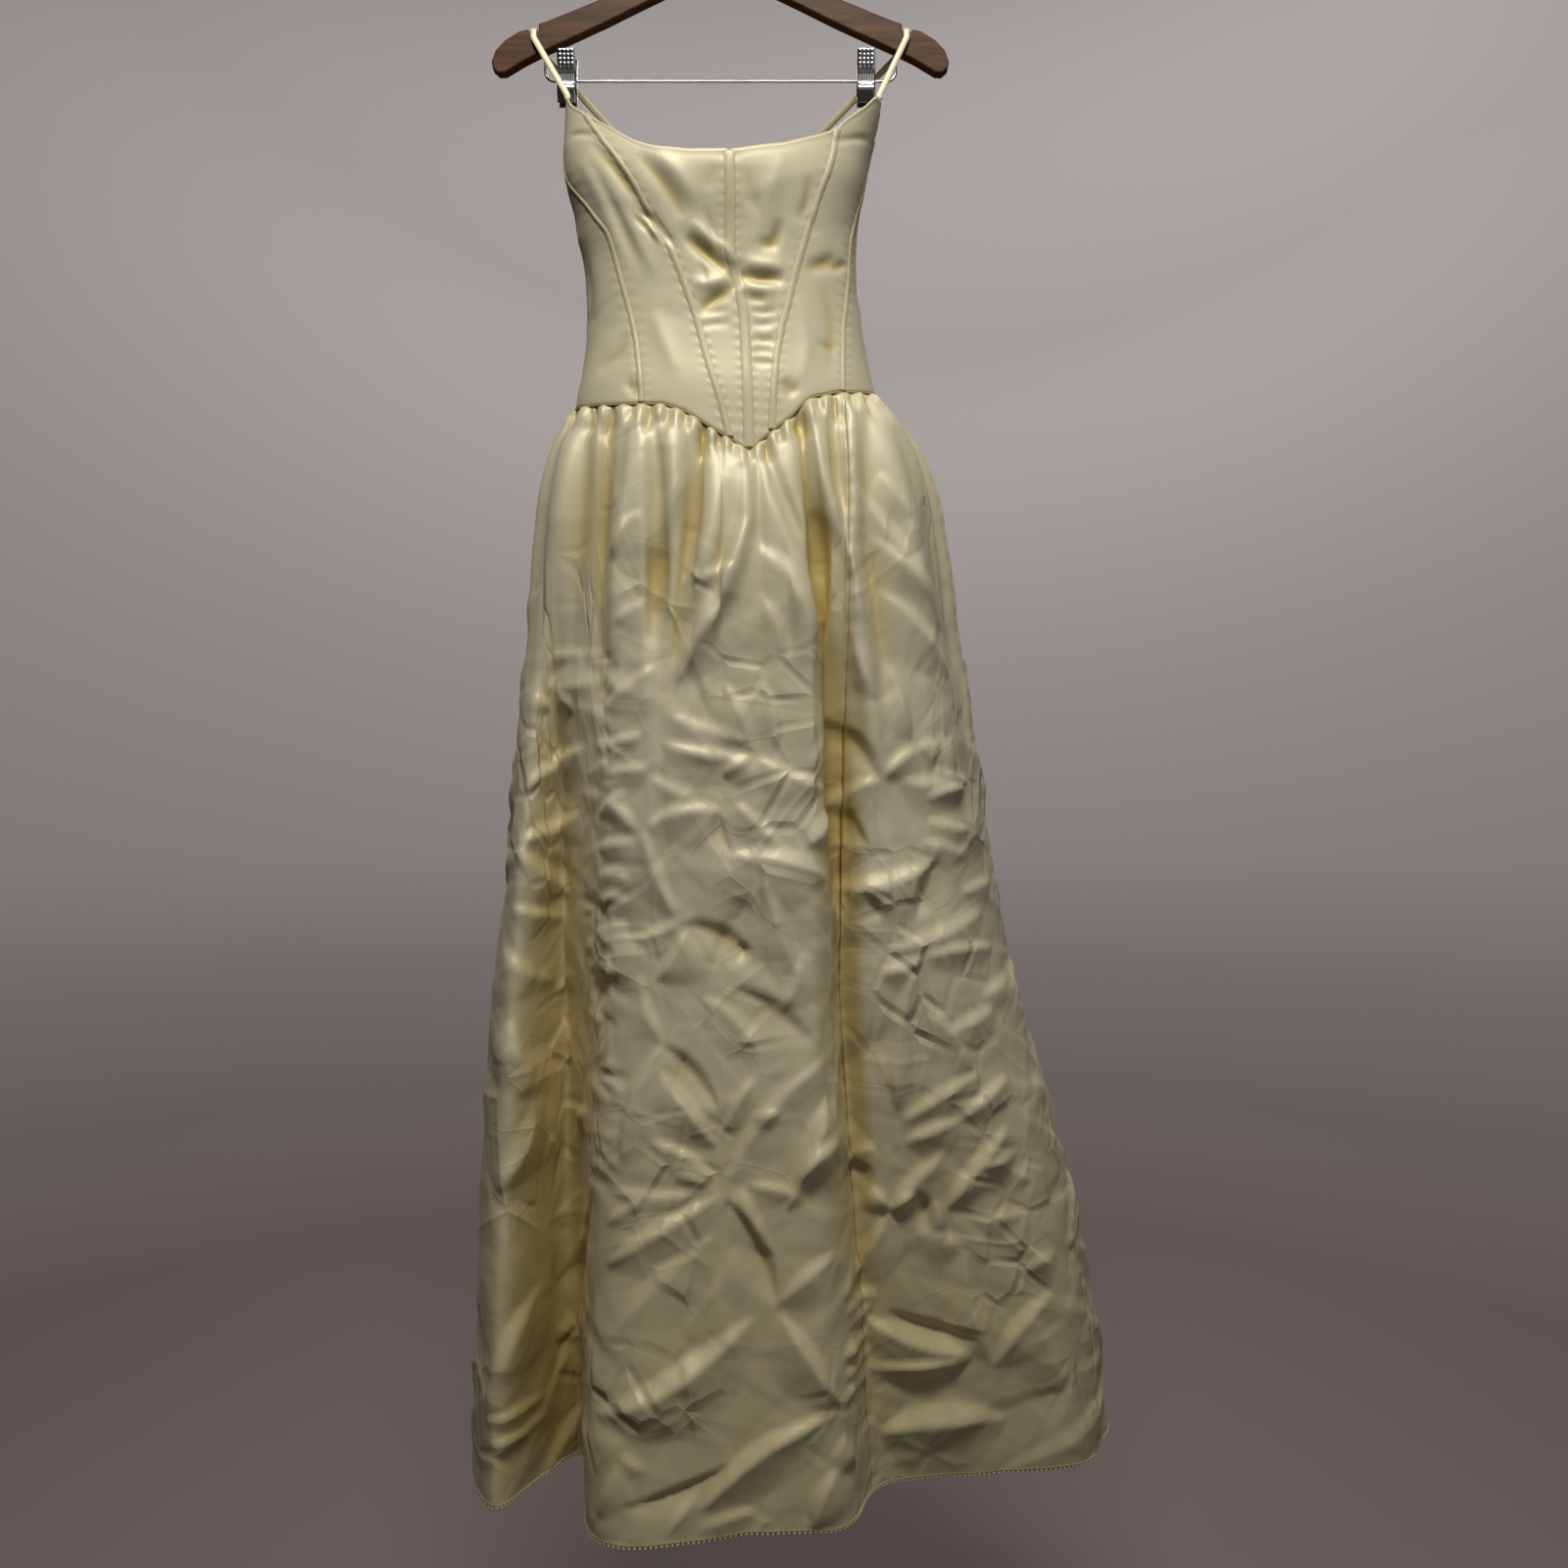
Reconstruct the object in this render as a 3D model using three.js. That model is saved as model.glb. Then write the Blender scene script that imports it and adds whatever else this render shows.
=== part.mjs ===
// A full-length satin dress with a boned bodice, thin straps and a gathered skirt, hung on a wooden clip hanger.
// Millimetres, +Z up, +X to the viewer's right, -Y the front. The origin is the top of the hook's inside,
// where the rail bears. "left" and "right" in the names are the wearer's.
import * as THREE from 'three';

// Driving sizes
const bodiceWall = 2;
const skirtWall = 1.5;
const seamGap = 0.3;
const waistGap = 0.5;
const hemZ = -1584;
const roundness = 2.4;
const gatherCount = 44;
const gatherDepth = 2.2;
const gatherFade = 45;
const pleatCount = 23;
const pleatDepth = 7;
const pleatPeak = 100;
const pleatPhase = 2;
const puffRun = 50;
const skirtColumnWidth = 4.5;
const seamStep = 0.05;
const riseStep = 0.004;
const midZ = -1100;
const hipZ = -660;

// The bodice's cross-section at each height: its centre and half width in X, and its depth to the front and back.
const bodiceSections = [
  { z: -610, centre: 6.5, half: 150.5, front: 80, back: 74 },
  { z: -540, centre: 6.5, half: 146.5, front: 78, back: 73 },
  { z: -505, centre: 6, half: 139, front: 73, back: 69 },
  { z: -476, centre: 5.2, half: 134.3, front: 71, back: 67 },
  { z: -443, centre: 2.2, half: 131.6, front: 72, back: 66 },
  { z: -409, centre: 0.3, half: 131.6, front: 75, back: 66 },
  { z: -381, centre: -2.3, half: 134.7, front: 80, back: 68 },
  { z: -357, centre: -3.1, half: 137.8, front: 86, back: 70 },
  { z: -333, centre: -4, half: 144.5, front: 88, back: 72 },
  { z: -309, centre: -4.3, half: 148.1, front: 82, back: 72 },
  { z: -255, centre: 3, half: 153, front: 72, back: 68 },
  { z: -240, centre: 4, half: 153, front: 70, back: 67 },
];

// Angles run from 0 at the front to +90 at +X, -90 at -X and 180 at the back.
// The bodice's top edge: neckline, strap points, armholes and back.
const topEdge = [
  { angle: -180, z: -281 },
  { angle: -150, z: -283 },
  { angle: -132, z: -294 },
  { angle: -118, z: -311 },
  { angle: -106, z: -320 },
  { angle: -97, z: -311 },
  { angle: -89, z: -286 },
  { angle: -81, z: -248 },
  { angle: -74, z: -247 },
  { angle: -63.5, z: -262 },
  { angle: -49.5, z: -280 },
  { angle: -35, z: -304 },
  { angle: -28.5, z: -316 },
  { angle: -21.5, z: -324 },
  { angle: -9, z: -329 },
  { angle: 8.5, z: -329 },
  { angle: 26, z: -320 },
  { angle: 38.5, z: -307 },
  { angle: 44.5, z: -299 },
  { angle: 51.5, z: -281 },
  { angle: 67.5, z: -251 },
  { angle: 74, z: -247 },
  { angle: 81, z: -248 },
  { angle: 89, z: -286 },
  { angle: 97, z: -311 },
  { angle: 106, z: -320 },
  { angle: 118, z: -311 },
  { angle: 132, z: -294 },
  { angle: 150, z: -283 },
  { angle: 180, z: -281 },
];

// The waist seam: level at the sides and back, with a deep point in front.
const waistEdge = [
  { angle: -180, z: -545 },
  { angle: -91, z: -543 },
  { angle: -55, z: -552 },
  { angle: -35.5, z: -556 },
  { angle: -21, z: -558 },
  { angle: -13, z: -566 },
  { angle: -3.5, z: -582 },
  { angle: 3, z: -592 },
  { angle: 9, z: -602 },
  { angle: 15.5, z: -587 },
  { angle: 24.5, z: -568 },
  { angle: 28, z: -557 },
  { angle: 32, z: -550 },
  { angle: 42.5, z: -543 },
  { angle: 67, z: -535 },
  { angle: 92, z: -533 },
  { angle: 180, z: -545 },
];

// The bodice's seams, from the centre back round the front to the centre back again.
// Each is a run of angles by height; bone is the width of the boning channel that covers it.
const bodiceSeams = [
  { name: 'centre_back_start', bone: 0, run: [[-180, -545], [-180, -281]] },
  { name: 'back_right', bone: 0, run: [[-152, -545], [-146, -420], [-147, -284]] },
  { name: 'side_right', bone: 0, run: [[-95, -544], [-98, -440], [-112, -318]] },
  {
    name: 'front_side_right',
    bone: 6,
    run: [[-29.5, -557], [-31, -529], [-34, -497], [-39, -456], [-43, -422], [-46, -392], [-58.5, -360],
      [-72.5, -332], [-88, -283]],
  },
  {
    name: 'princess_right',
    bone: 7,
    run: [[2.5, -592], [-1, -555], [-6, -515], [-10.5, -473], [-15, -437], [-20, -404], [-24.5, -387],
      [-30.5, -355], [-36.5, -326], [-43, -302], [-52, -277]],
  },
  {
    name: 'centre_front',
    bone: 10,
    run: [[9, -602], [8.5, -522], [8.5, -475], [8, -447], [5, -417], [6.5, -371], [6.5, -329]],
  },
  {
    name: 'princess_left',
    bone: 7,
    run: [[17, -584], [17.5, -555], [19.5, -515], [23, -483], [27, -459], [32.5, -423], [39, -384],
      [45, -341], [46.5, -319], [46.5, -295]],
  },
  {
    name: 'front_side_left',
    bone: 6,
    run: [[45.5, -542], [46.5, -530], [52.5, -478], [62.5, -432], [67, -390], [79.5, -340], [88, -283]],
  },
  { name: 'side_left', bone: 0, run: [[92, -533], [96, -440], [112, -318]] },
  { name: 'back_left', bone: 0, run: [[152, -542], [146, -420], [147, -284]] },
  { name: 'centre_back_end', bone: 0, run: [[180, -545], [180, -281]] },
];

// The panels between one seam and the next, with the columns that each gets.
const bodicePanels = [
  { name: 'bodice_back_centre_right', columns: 4 },
  { name: 'bodice_back_side_right', columns: 6 },
  { name: 'bodice_side_right', columns: 8 },
  { name: 'bodice_front_side_right', columns: 6 },
  { name: 'bodice_front_centre_right', columns: 5 },
  { name: 'bodice_front_centre_left', columns: 5 },
  { name: 'bodice_front_side_left', columns: 6 },
  { name: 'bodice_side_left', columns: 7 },
  { name: 'bodice_back_side_left', columns: 6 },
  { name: 'bodice_back_centre_left', columns: 4 },
];
const bodiceRows = 12;

// The skirt's largest folds, anticlockwise seen from above, starting at the centre back.
// waist and hip are angles; mid and hem are places in plan at midZ and hemZ; belly is how far the side swells between.
const skirtFolds = [
  { waist: -180, hip: -180, mid: [20, 95], hem: [30, 104], belly: 0 },
  { waist: -165, hip: -165, mid: [-35, 115], hem: [-45, 136], belly: 0 },
  { waist: -149, hip: -150, mid: [-85, 92], hem: [-110, 102], belly: 0 },
  { waist: -132, hip: -134, mid: [-140, 104], hem: [-170, 126], belly: 0 },
  { waist: -116, hip: -117, mid: [-190, 75], hem: [-222, 90], belly: 4 },
  { waist: -103, hip: -103, mid: [-216, 38], hem: [-246, 40], belly: 5 },
  { waist: -92, hip: -90, mid: [-222, 0], hem: [-237, -12], belly: 5 },
  { waist: -79, hip: -72, mid: [-192, -52], hem: [-207, -58], belly: 2 },
  { waist: -67, hip: -57, mid: [-152, 5], hem: [-160, 30], belly: 0 },
  { waist: -58, hip: -50, mid: [-138, -15], hem: [-143, 42], belly: 0 },
  { waist: -45, hip: -37, mid: [-97, -72], hem: [-112, -100], belly: 2 },
  { waist: -32, hip: -27, mid: [-60, -90], hem: [-85, -120], belly: 2 },
  { waist: 1, hip: -3, mid: [10, -94], hem: [27, -99], belly: 3 },
  { waist: 25, hip: 19, mid: [90, -87], hem: [106, -92], belly: 2 },
  { waist: 35, hip: 25, mid: [104, -68], hem: [128, -75], belly: 0 },
  { waist: 45.5, hip: 30, mid: [114, -42], hem: [146, -31], belly: 0 },
  { waist: 53, hip: 38, mid: [137, -64], hem: [165, -14], belly: 2 },
  { waist: 63, hip: 51, mid: [178, -60], hem: [215, 0], belly: 5 },
  { waist: 74, hip: 66, mid: [232, -42], hem: [303, 9], belly: 8 },
  { waist: 83, hip: 80, mid: [266, -15], hem: [354, 21], belly: 12 },
  { waist: 92, hip: 92, mid: [284, 18], hem: [382, 50], belly: 16 },
  { waist: 100, hip: 101, mid: [288, 60], hem: [404, 112], belly: 16 },
  { waist: 113, hip: 113, mid: [258, 96], hem: [360, 130], belly: 10 },
  { waist: 128, hip: 128, mid: [215, 85], hem: [300, 100], belly: 4 },
  { waist: 141, hip: 141, mid: [168, 112], hem: [240, 136], belly: 0 },
  { waist: 153, hip: 153, mid: [118, 92], hem: [170, 102], belly: 0 },
  { waist: 167, hip: 166, mid: [68, 116], hem: [100, 138], belly: 0 },
];

// The ring that the skirt fills at the hip.
const hipRing = { centre: 21, half: 193, front: 98, back: 92 };

// Shares of the way from the hem to the waist seam, closer together where the gathers are.
const skirtRows = [0, 0.13, 0.27, 0.41, 0.54, 0.66, 0.76, 0.84, 0.9, 0.94, 0.967, 0.985, 1];

// The skirt's gores, by the bodice seams that they start and end below.
const skirtGores = [
  { name: 'skirt_back_right', from: 0, to: 2 },
  { name: 'skirt_front_right', from: 2, to: 7 },
  { name: 'skirt_front_left', from: 7, to: 8 },
  { name: 'skirt_back_left', from: 8, to: 10 },
];

// Straps
const strapWidth = 6;
const strapThickness = 2;
const strapFrontAngle = 77.5;
const strapEndGap = 0.5;
const strapFoot = 4;
// The strap's way over the hanger's notch, back and up from the notch's middle
const notchPath = [
  { y: -9.4, z: -8 },
  { y: -8.6, z: -1.6 },
  { y: -7.3, z: 1.4 },
  { y: -4.6, z: 2.3 },
  { y: 0, z: 1.6 },
  { y: 4.6, z: 2.3 },
  { y: 7.3, z: 1.4 },
  { y: 8.6, z: -1.6 },
  { y: 9.6, z: -8 },
];
const straps = [
  { name: 'right', side: -1, backAngle: 151 },
  { name: 'left', side: 1, backAngle: 156 },
];

// Hanger
const armThickness = 12;
const armBevel = 1.5;
const notchX = 181;
const notchZ = -175;
const hookRadius = 24;
const hookWire = 4;
const hookArc = { from: -55, to: 185, step: 15 };
// The hook's shank, from above the neck to where its bend begins
const hookShank = [
  { x: 0, z: -78 },
  { x: 0, z: -62 },
  { x: 5, z: -50.5 },
];
const barWire = 2.5;
const barZ = -221;
const barEndX = 171;
const barTurn = 9;
const barEndDrop = 0.7;
const barStraight = [158, 150, 60];
const clipWidth = 17;
const clipPlate = 1.2;
const sleeveRadius = 2.9;
const sleeveBore = 1.55;
const sleeveLength = 15;

// Zip
const zipTapeWidth = 5;
const zipLift = 1.1;
const sliderTopZ = -287;
const sliderHeight = 9;
const sliderWidth = 6.4;
const sliderDepth = 2.2;
const pullLength = 17;
const pullNeck = { half: 0.6, drop: 3 };
const pullTip = 0.5;
const pinReach = 2.3;
const zipInnerLift = 0.35;
const lugTrim = 0.4;

const satin = { color: 0xd6cba0, roughness: 0.42, metalness: 0 };
const materials = {
  bodice: new THREE.MeshStandardMaterial(satin),
  skirt: new THREE.MeshStandardMaterial({ ...satin, roughness: 0.46 }),
  bone: new THREE.MeshStandardMaterial({ ...satin, color: 0xcfc498 }),
  strap: new THREE.MeshStandardMaterial({ ...satin, color: 0xd9cea6 }),
  zip: new THREE.MeshStandardMaterial({ color: 0xcdc196, roughness: 0.6, metalness: 0 }),
  zipMetal: new THREE.MeshStandardMaterial({ color: 0xd0c8ae, roughness: 0.35, metalness: 0.6 }),
  wood: new THREE.MeshStandardMaterial({ color: 0xb98a5a, roughness: 0.5, metalness: 0 }),
  chrome: new THREE.MeshStandardMaterial({ color: 0xc8cace, roughness: 0.2, metalness: 1 }),
  rubber: new THREE.MeshStandardMaterial({ color: 0x1c1c1d, roughness: 0.85, metalness: 0 }),
};

const dress = new THREE.Group();

function add(name, geometry, material) {
  const mesh = new THREE.Mesh(geometry, material);
  mesh.name = name;
  dress.add(mesh);
  return mesh;
}

const radians = (degrees) => (degrees * Math.PI) / 180;
const lerp = THREE.MathUtils.lerp;
const clamp01 = (x) => THREE.MathUtils.clamp(x, 0, 1);

// The value of a table's column at x, on straight lines between its rows.
function lookUp(rows, x, xOf, valueOf) {
  const rising = xOf(rows[rows.length - 1]) > xOf(rows[0]);
  let k = 1;
  while (k < rows.length - 1 && (rising ? x > xOf(rows[k]) : x < xOf(rows[k]))) k++;
  const [a, b] = [rows[k - 1], rows[k]];
  return lerp(valueOf(a), valueOf(b), clamp01((x - xOf(a)) / (xOf(b) - xOf(a))));
}

const section = (z, key) => lookUp(bodiceSections, z, (row) => row.z, (row) => row[key]);
const topZ = (angle) => lookUp(topEdge, angle, (row) => row.angle, (row) => row.z);
const waistZ = (angle) => lookUp(waistEdge, angle, (row) => row.angle, (row) => row.z);
const seamAngle = (seam, z) => lookUp(seam.run, z, (row) => row[1], (row) => row[0]);

// A point on a rounded oblong ring.
function ringPoint(angle, ring, z) {
  const s = Math.sin(radians(angle));
  const c = Math.cos(radians(angle));
  const reach = (Math.abs(s) ** roundness + Math.abs(c) ** roundness) ** (-1 / roundness);
  const depth = c > 0 ? ring.front : ring.back;
  return new THREE.Vector3(ring.centre + ring.half * reach * s, -depth * reach * c, z);
}

function bodiceRing(z) {
  return {
    centre: section(z, 'centre'),
    half: section(z, 'half'),
    front: section(z, 'front'),
    back: section(z, 'back'),
  };
}

const bodicePoint = (angle, z) => ringPoint(angle, bodiceRing(z), z);

// The level direction square to the bodice, pointing out.
function bodiceOut(angle, z) {
  const along = bodicePoint(angle + 0.5, z).sub(bodicePoint(angle - 0.5, z));
  return new THREE.Vector3(along.y, -along.x, 0).normalize();
}

// The bodice's surface, raised by lift.
const bodiceSurface = (angle, z, lift) => bodicePoint(angle, z).addScaledVector(bodiceOut(angle, z), lift);

// The angle that a length along the bodice takes up.
function angleOf(length, angle, z) {
  return length / bodicePoint(angle + 0.5, z).distanceTo(bodicePoint(angle - 0.5, z));
}

// A closed wall: at(i, j, inside) gives the points of its outer and inner face, with i to the right and j upwards
// as seen from outside.
function wall(columns, rows, at) {
  const positions = [];
  const width = columns + 1;
  const face = width * (rows + 1);
  for (const inside of [false, true]) {
    for (let j = 0; j <= rows; j++) {
      for (let i = 0; i <= columns; i++) positions.push(...at(i, j, inside).toArray());
    }
  }
  const indices = [];
  const quad = (a, b, c, d) => indices.push(a, b, c, a, c, d);
  const id = (i, j, inside) => (inside ? face : 0) + j * width + i;
  for (let j = 0; j < rows; j++) {
    for (let i = 0; i < columns; i++) {
      quad(id(i, j, false), id(i + 1, j, false), id(i + 1, j + 1, false), id(i, j + 1, false));
      quad(id(i, j + 1, true), id(i + 1, j + 1, true), id(i + 1, j, true), id(i, j, true));
    }
  }
  for (let i = 0; i < columns; i++) {
    quad(id(i, 0, true), id(i + 1, 0, true), id(i + 1, 0, false), id(i, 0, false));
    quad(id(i, rows, false), id(i + 1, rows, false), id(i + 1, rows, true), id(i, rows, true));
  }
  for (let j = 0; j < rows; j++) {
    quad(id(0, j, false), id(0, j + 1, false), id(0, j + 1, true), id(0, j, true));
    quad(id(columns, j, false), id(columns, j, true), id(columns, j + 1, true), id(columns, j + 1, false));
  }
  return meshOf(positions, indices);
}

function meshOf(positions, indices) {
  const geometry = new THREE.BufferGeometry();
  geometry.setAttribute('position', new THREE.Float32BufferAttribute(positions, 3));
  geometry.setIndex(indices);
  geometry.computeVertexNormals();
  return geometry;
}

// Bodice panels
const edgeZ = (seam, end) => {
  const z = seam.run[end ? seam.run.length - 1 : 0][1];
  return (end ? topZ : waistZ)(seamAngle(seam, z));
};

// The height of a point that is v of the way up a seam.
const seamZ = (seam, v) => lerp(edgeZ(seam, false), edgeZ(seam, true), v);

// The angle at u across and v up the panel between two seams.
function panelAngle(left, right, u, v) {
  return lerp(seamAngle(left, seamZ(left, v)), seamAngle(right, seamZ(right, v)), u);
}

function panelHeight(left, right, u, v) {
  const bottom = waistZ(panelAngle(left, right, u, 0)) + waistGap / 2;
  return lerp(bottom, topZ(panelAngle(left, right, u, 1)), v);
}

// Half the seam's gap, measured level, wider where the seam slants.
function seamShift(seam, v) {
  const [low, high] = [Math.max(0, v - seamStep), Math.min(1, v + seamStep)].map((share) => {
    const z = seamZ(seam, share);
    return bodicePoint(seamAngle(seam, z), z);
  });
  return ((seamGap / 2) * high.distanceTo(low)) / Math.abs(high.z - low.z);
}

bodicePanels.forEach((panel, k) => {
  const [left, right] = [bodiceSeams[k], bodiceSeams[k + 1]];
  const geometry = wall(panel.columns, bodiceRows, (i, j, inside) => {
    const [u, v] = [i / panel.columns, j / bodiceRows];
    const z = panelHeight(left, right, u, v);
    let angle = panelAngle(left, right, u, v);
    if (i === 0) angle += angleOf(seamShift(left, v), angle, z);
    if (i === panel.columns) angle -= angleOf(seamShift(right, v), angle, z);
    return bodiceSurface(angle, z, inside ? -bodiceWall : 0);
  });
  add(panel.name, geometry, materials.bodice);
});

// Boning channels, which lie over the front seams
const boneColumns = 2;
const boneEnd = 0.05;
const boneLift = 0.6;
const boneThickness = 0.9;

bodiceSeams.filter((seam) => seam.bone > 0).forEach((seam) => {
  const geometry = wall(boneColumns, bodiceRows, (i, j, inside) => {
    const v = THREE.MathUtils.clamp(j / bodiceRows, boneEnd, 1 - boneEnd);
    const z = seamZ(seam, v);
    const middle = seamAngle(seam, z);
    const angle = middle + angleOf(seam.bone * (i / boneColumns - 0.5), middle, z);
    const crown = i === 1 ? boneThickness : boneThickness / 2;
    return bodiceSurface(angle, z, boneLift + (inside ? 0 : crown));
  });
  add(`bone_${seam.name}`, geometry, materials.bone);
});

// Skirt: the angles of the bodice's bottom corners, which its top edge follows
const bottomCorners = bodicePanels.flatMap((panel, k) => {
  const [left, right] = [bodiceSeams[k], bodiceSeams[k + 1]];
  return Array.from({ length: panel.columns }, (_, i) => ({
    seam: i === 0 ? k : -1,
    angle: panelAngle(left, right, i / panel.columns, 0),
  }));
});
bottomCorners.push({ seam: bodiceSeams.length - 1, angle: 180 });

const cornerPoint = (corner) => bodicePoint(corner.angle, waistZ(corner.angle));

// The skirt's columns: each stretch between two corners is cut into columns of about one width.
const skirtColumns = [];
bottomCorners.slice(0, -1).forEach((corner, k) => {
  const next = bottomCorners[k + 1];
  const [from, to] = [cornerPoint(corner), cornerPoint(next)];
  const share = Math.max(1, Math.round(from.distanceTo(to) / skirtColumnWidth));
  for (let i = 0; i < share; i++) {
    skirtColumns.push({
      seam: i === 0 ? corner.seam : -1,
      angle: lerp(corner.angle, next.angle, i / share),
      top: from.clone().lerp(to, i / share),
    });
  }
});
skirtColumns.push({ seam: bodiceSeams.length - 1, angle: 180, top: cornerPoint(bottomCorners.at(-1)) });

// How far round the waist each column lies, from 0 to 1
let run = 0;
skirtColumns.forEach((column, k) => {
  if (k > 0) run += column.top.distanceTo(skirtColumns[k - 1].top);
  column.run = run;
});
skirtColumns.forEach((column) => (column.run /= run));

const planCurve = (key) => {
  const points = skirtFolds.map((fold) => new THREE.Vector3(fold[key][0], fold[key][1], 0));
  return new THREE.CatmullRomCurve3(points, true, 'centripetal');
};
const midCurve = planCurve('mid');
const hemCurve = planCurve('hem');
const closedFolds = [...skirtFolds, { ...skirtFolds[0], waist: 180, hip: 180 }];

const columnAt = (place, valueOf) => {
  const k = Math.min(Math.floor(place), skirtColumns.length - 2);
  return lerp(valueOf(skirtColumns[k]), valueOf(skirtColumns[k + 1]), place - k);
};

// The skirt's outer face at a place among its columns, rise of the way from the hem to the waist seam.
function skirtPoint(place, rise) {
  const count = skirtColumns.length - 1;
  const held = (place + count) % count;
  const angle = columnAt(held, (column) => column.angle);
  const around = columnAt(held, (column) => column.run);
  const k = Math.min(Math.floor(held), count - 1);
  const top = skirtColumns[k].top.clone().lerp(skirtColumns[k + 1].top, held - k);
  top.z -= waistGap / 2;

  let fold = 0;
  while (fold < skirtFolds.length - 1 && angle > closedFolds[fold + 1].waist) fold++;
  const [from, to] = [closedFolds[fold], closedFolds[fold + 1]];
  const share = clamp01((angle - from.waist) / (to.waist - from.waist));
  const along = (fold + share) / skirtFolds.length;

  const z = lerp(hemZ, top.z, rise);
  const drop = top.z - z;
  const hip = ringPoint(lerp(from.hip, to.hip, share), hipRing, 0);
  const mid = midCurve.getPoint(along);
  const hem = hemCurve.getPoint(along);
  const puff = 1 - Math.exp(-drop / puffRun);
  const toMid = clamp01((hipZ - z) / (hipZ - midZ));
  const toHem = clamp01((midZ - z) / (midZ - hemZ));
  const out = new THREE.Vector3(hip.x - hipRing.centre, hip.y * (hipRing.half / hipRing.front), 0).normalize();

  const uneven = 1 + 0.35 * Math.sin(2 * Math.PI * 5 * around + 1) + 0.2 * Math.sin(2 * Math.PI * 11 * around);
  const gathers = gatherDepth * Math.exp(-drop / gatherFade) * Math.cos(2 * Math.PI * gatherCount * around);
  const swell = (drop / pleatPeak) * Math.exp(1 - drop / pleatPeak);
  const pleats = pleatDepth * swell * uneven * Math.cos(2 * Math.PI * pleatCount * around + pleatPhase);
  const belly = lerp(from.belly, to.belly, share) * 4 * toHem * (1 - toHem);

  const point = new THREE.Vector3(top.x, top.y, 0);
  point.lerp(hip.setZ(0), puff).lerp(mid, toMid).lerp(hem, toHem);
  point.addScaledVector(out, gathers + pleats + belly);
  return point.setZ(z);
}

// The direction square to the skirt, pointing out.
function skirtOut(place, rise) {
  const [low, high] = [Math.max(0, rise - riseStep), Math.min(1, rise + riseStep)];
  const across = skirtPoint(place + 0.5, rise).sub(skirtPoint(place - 0.5, rise));
  const up = skirtPoint(place, high).sub(skirtPoint(place, low));
  return across.cross(up).normalize();
}

skirtGores.forEach((gore) => {
  const start = skirtColumns.findIndex((column) => column.seam === gore.from);
  const end = skirtColumns.findIndex((column) => column.seam === gore.to);
  const columns = end - start;
  const geometry = wall(columns, skirtRows.length - 1, (i, j, inside) => {
    const rise = skirtRows[j];
    let place = start + i;
    const step = skirtPoint(place + 0.5, rise).distanceTo(skirtPoint(place - 0.5, rise));
    if (i === 0) place += seamGap / 2 / step;
    if (i === columns) place -= seamGap / 2 / step;
    const point = skirtPoint(place, rise);
    if (!inside) return point;
    const out = skirtOut(place, rise);
    if (j === 0) out.setZ(0).normalize();
    return point.addScaledVector(out, -skirtWall);
  });
  add(gore.name, geometry, materials.skirt);
});

// A ribbon or bar of four-cornered sections along a line of points, its width lying along wide.
function ribbon(points, wide, width, thickness) {
  const positions = [];
  const indices = [];
  points.forEach((point, k) => {
    const tangent = points[Math.min(k + 1, points.length - 1)].clone().sub(points[Math.max(k - 1, 0)]).normalize();
    const flat = new THREE.Vector3().crossVectors(wide, tangent).normalize();
    const across = new THREE.Vector3().crossVectors(flat, tangent).normalize();
    for (const [w, t] of [[-0.5, -0.5], [0.5, -0.5], [0.5, 0.5], [-0.5, 0.5]]) {
      const corner = point.clone().addScaledVector(across, w * width).addScaledVector(flat, t * thickness);
      positions.push(...corner.toArray());
    }
  });
  const last = (points.length - 1) * 4;
  for (let k = 0; k < last; k += 4) {
    for (let side = 0; side < 4; side++) {
      const [a, b] = [k + side, k + ((side + 1) % 4)];
      indices.push(a, b, b + 4, a, b + 4, a + 4);
    }
  }
  indices.push(0, 2, 1, 0, 3, 2);
  indices.push(last, last + 1, last + 2, last, last + 2, last + 3);
  return meshOf(positions, indices);
}

// Straps, from the front's points over the hanger's notches to the back's top edge
for (const { name, side, backAngle } of straps) {
  const frontZ = topZ(side * strapFrontAngle) + strapEndGap;
  const backZ = topZ(side * backAngle) + strapEndGap;
  const front = bodiceSurface(side * strapFrontAngle, frontZ, -bodiceWall / 2);
  const back = bodiceSurface(side * backAngle, backZ, -bodiceWall / 2);
  const points = [
    front,
    front.clone().setZ(frontZ + strapFoot),
    ...notchPath.map(({ y, z }) => new THREE.Vector3(side * notchX, y, notchZ + z)),
    back.clone().setZ(backZ + strapFoot),
    back,
  ];
  add(`strap_${name}`, ribbon(points, new THREE.Vector3(1, 0, 0), strapWidth, strapThickness), materials.strap);
}

// Zip: a covered strip on the centre back, a slider at its top and a pull that hangs from it
const zipRows = bodiceRows;
const zipTop = 0.9;
const zipBottom = 0.02;
const centreBack = bodiceSeams[0];

const zipStrip = wall(2, zipRows, (i, j, inside) => {
  const v = THREE.MathUtils.clamp(j / zipRows, zipBottom, zipTop);
  const z = seamZ(centreBack, v);
  const angle = 180 + angleOf(zipTapeWidth * (i / 2 - 0.5), 180, z);
  return bodiceSurface(angle, z, inside ? zipInnerLift : zipLift);
});
add('zip_strip', zipStrip, materials.zip);

const backPoint = (z, lift) => bodiceSurface(180, z, lift);
const sliderZ = sliderTopZ - sliderHeight / 2;
const sliderFace = Math.max(backPoint(sliderTopZ, 0).y, backPoint(sliderTopZ - sliderHeight, 0).y) + zipInnerLift;
const pinY = sliderFace + sliderDepth + pinReach;
const centreX = backPoint(sliderZ, 0).x;
const lugThickness = 1;
const eyeWidth = 2.4;
const eyeOuter = 1.9;
const pinRadius = 0.6;
const pinClear = 0.35;

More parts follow.
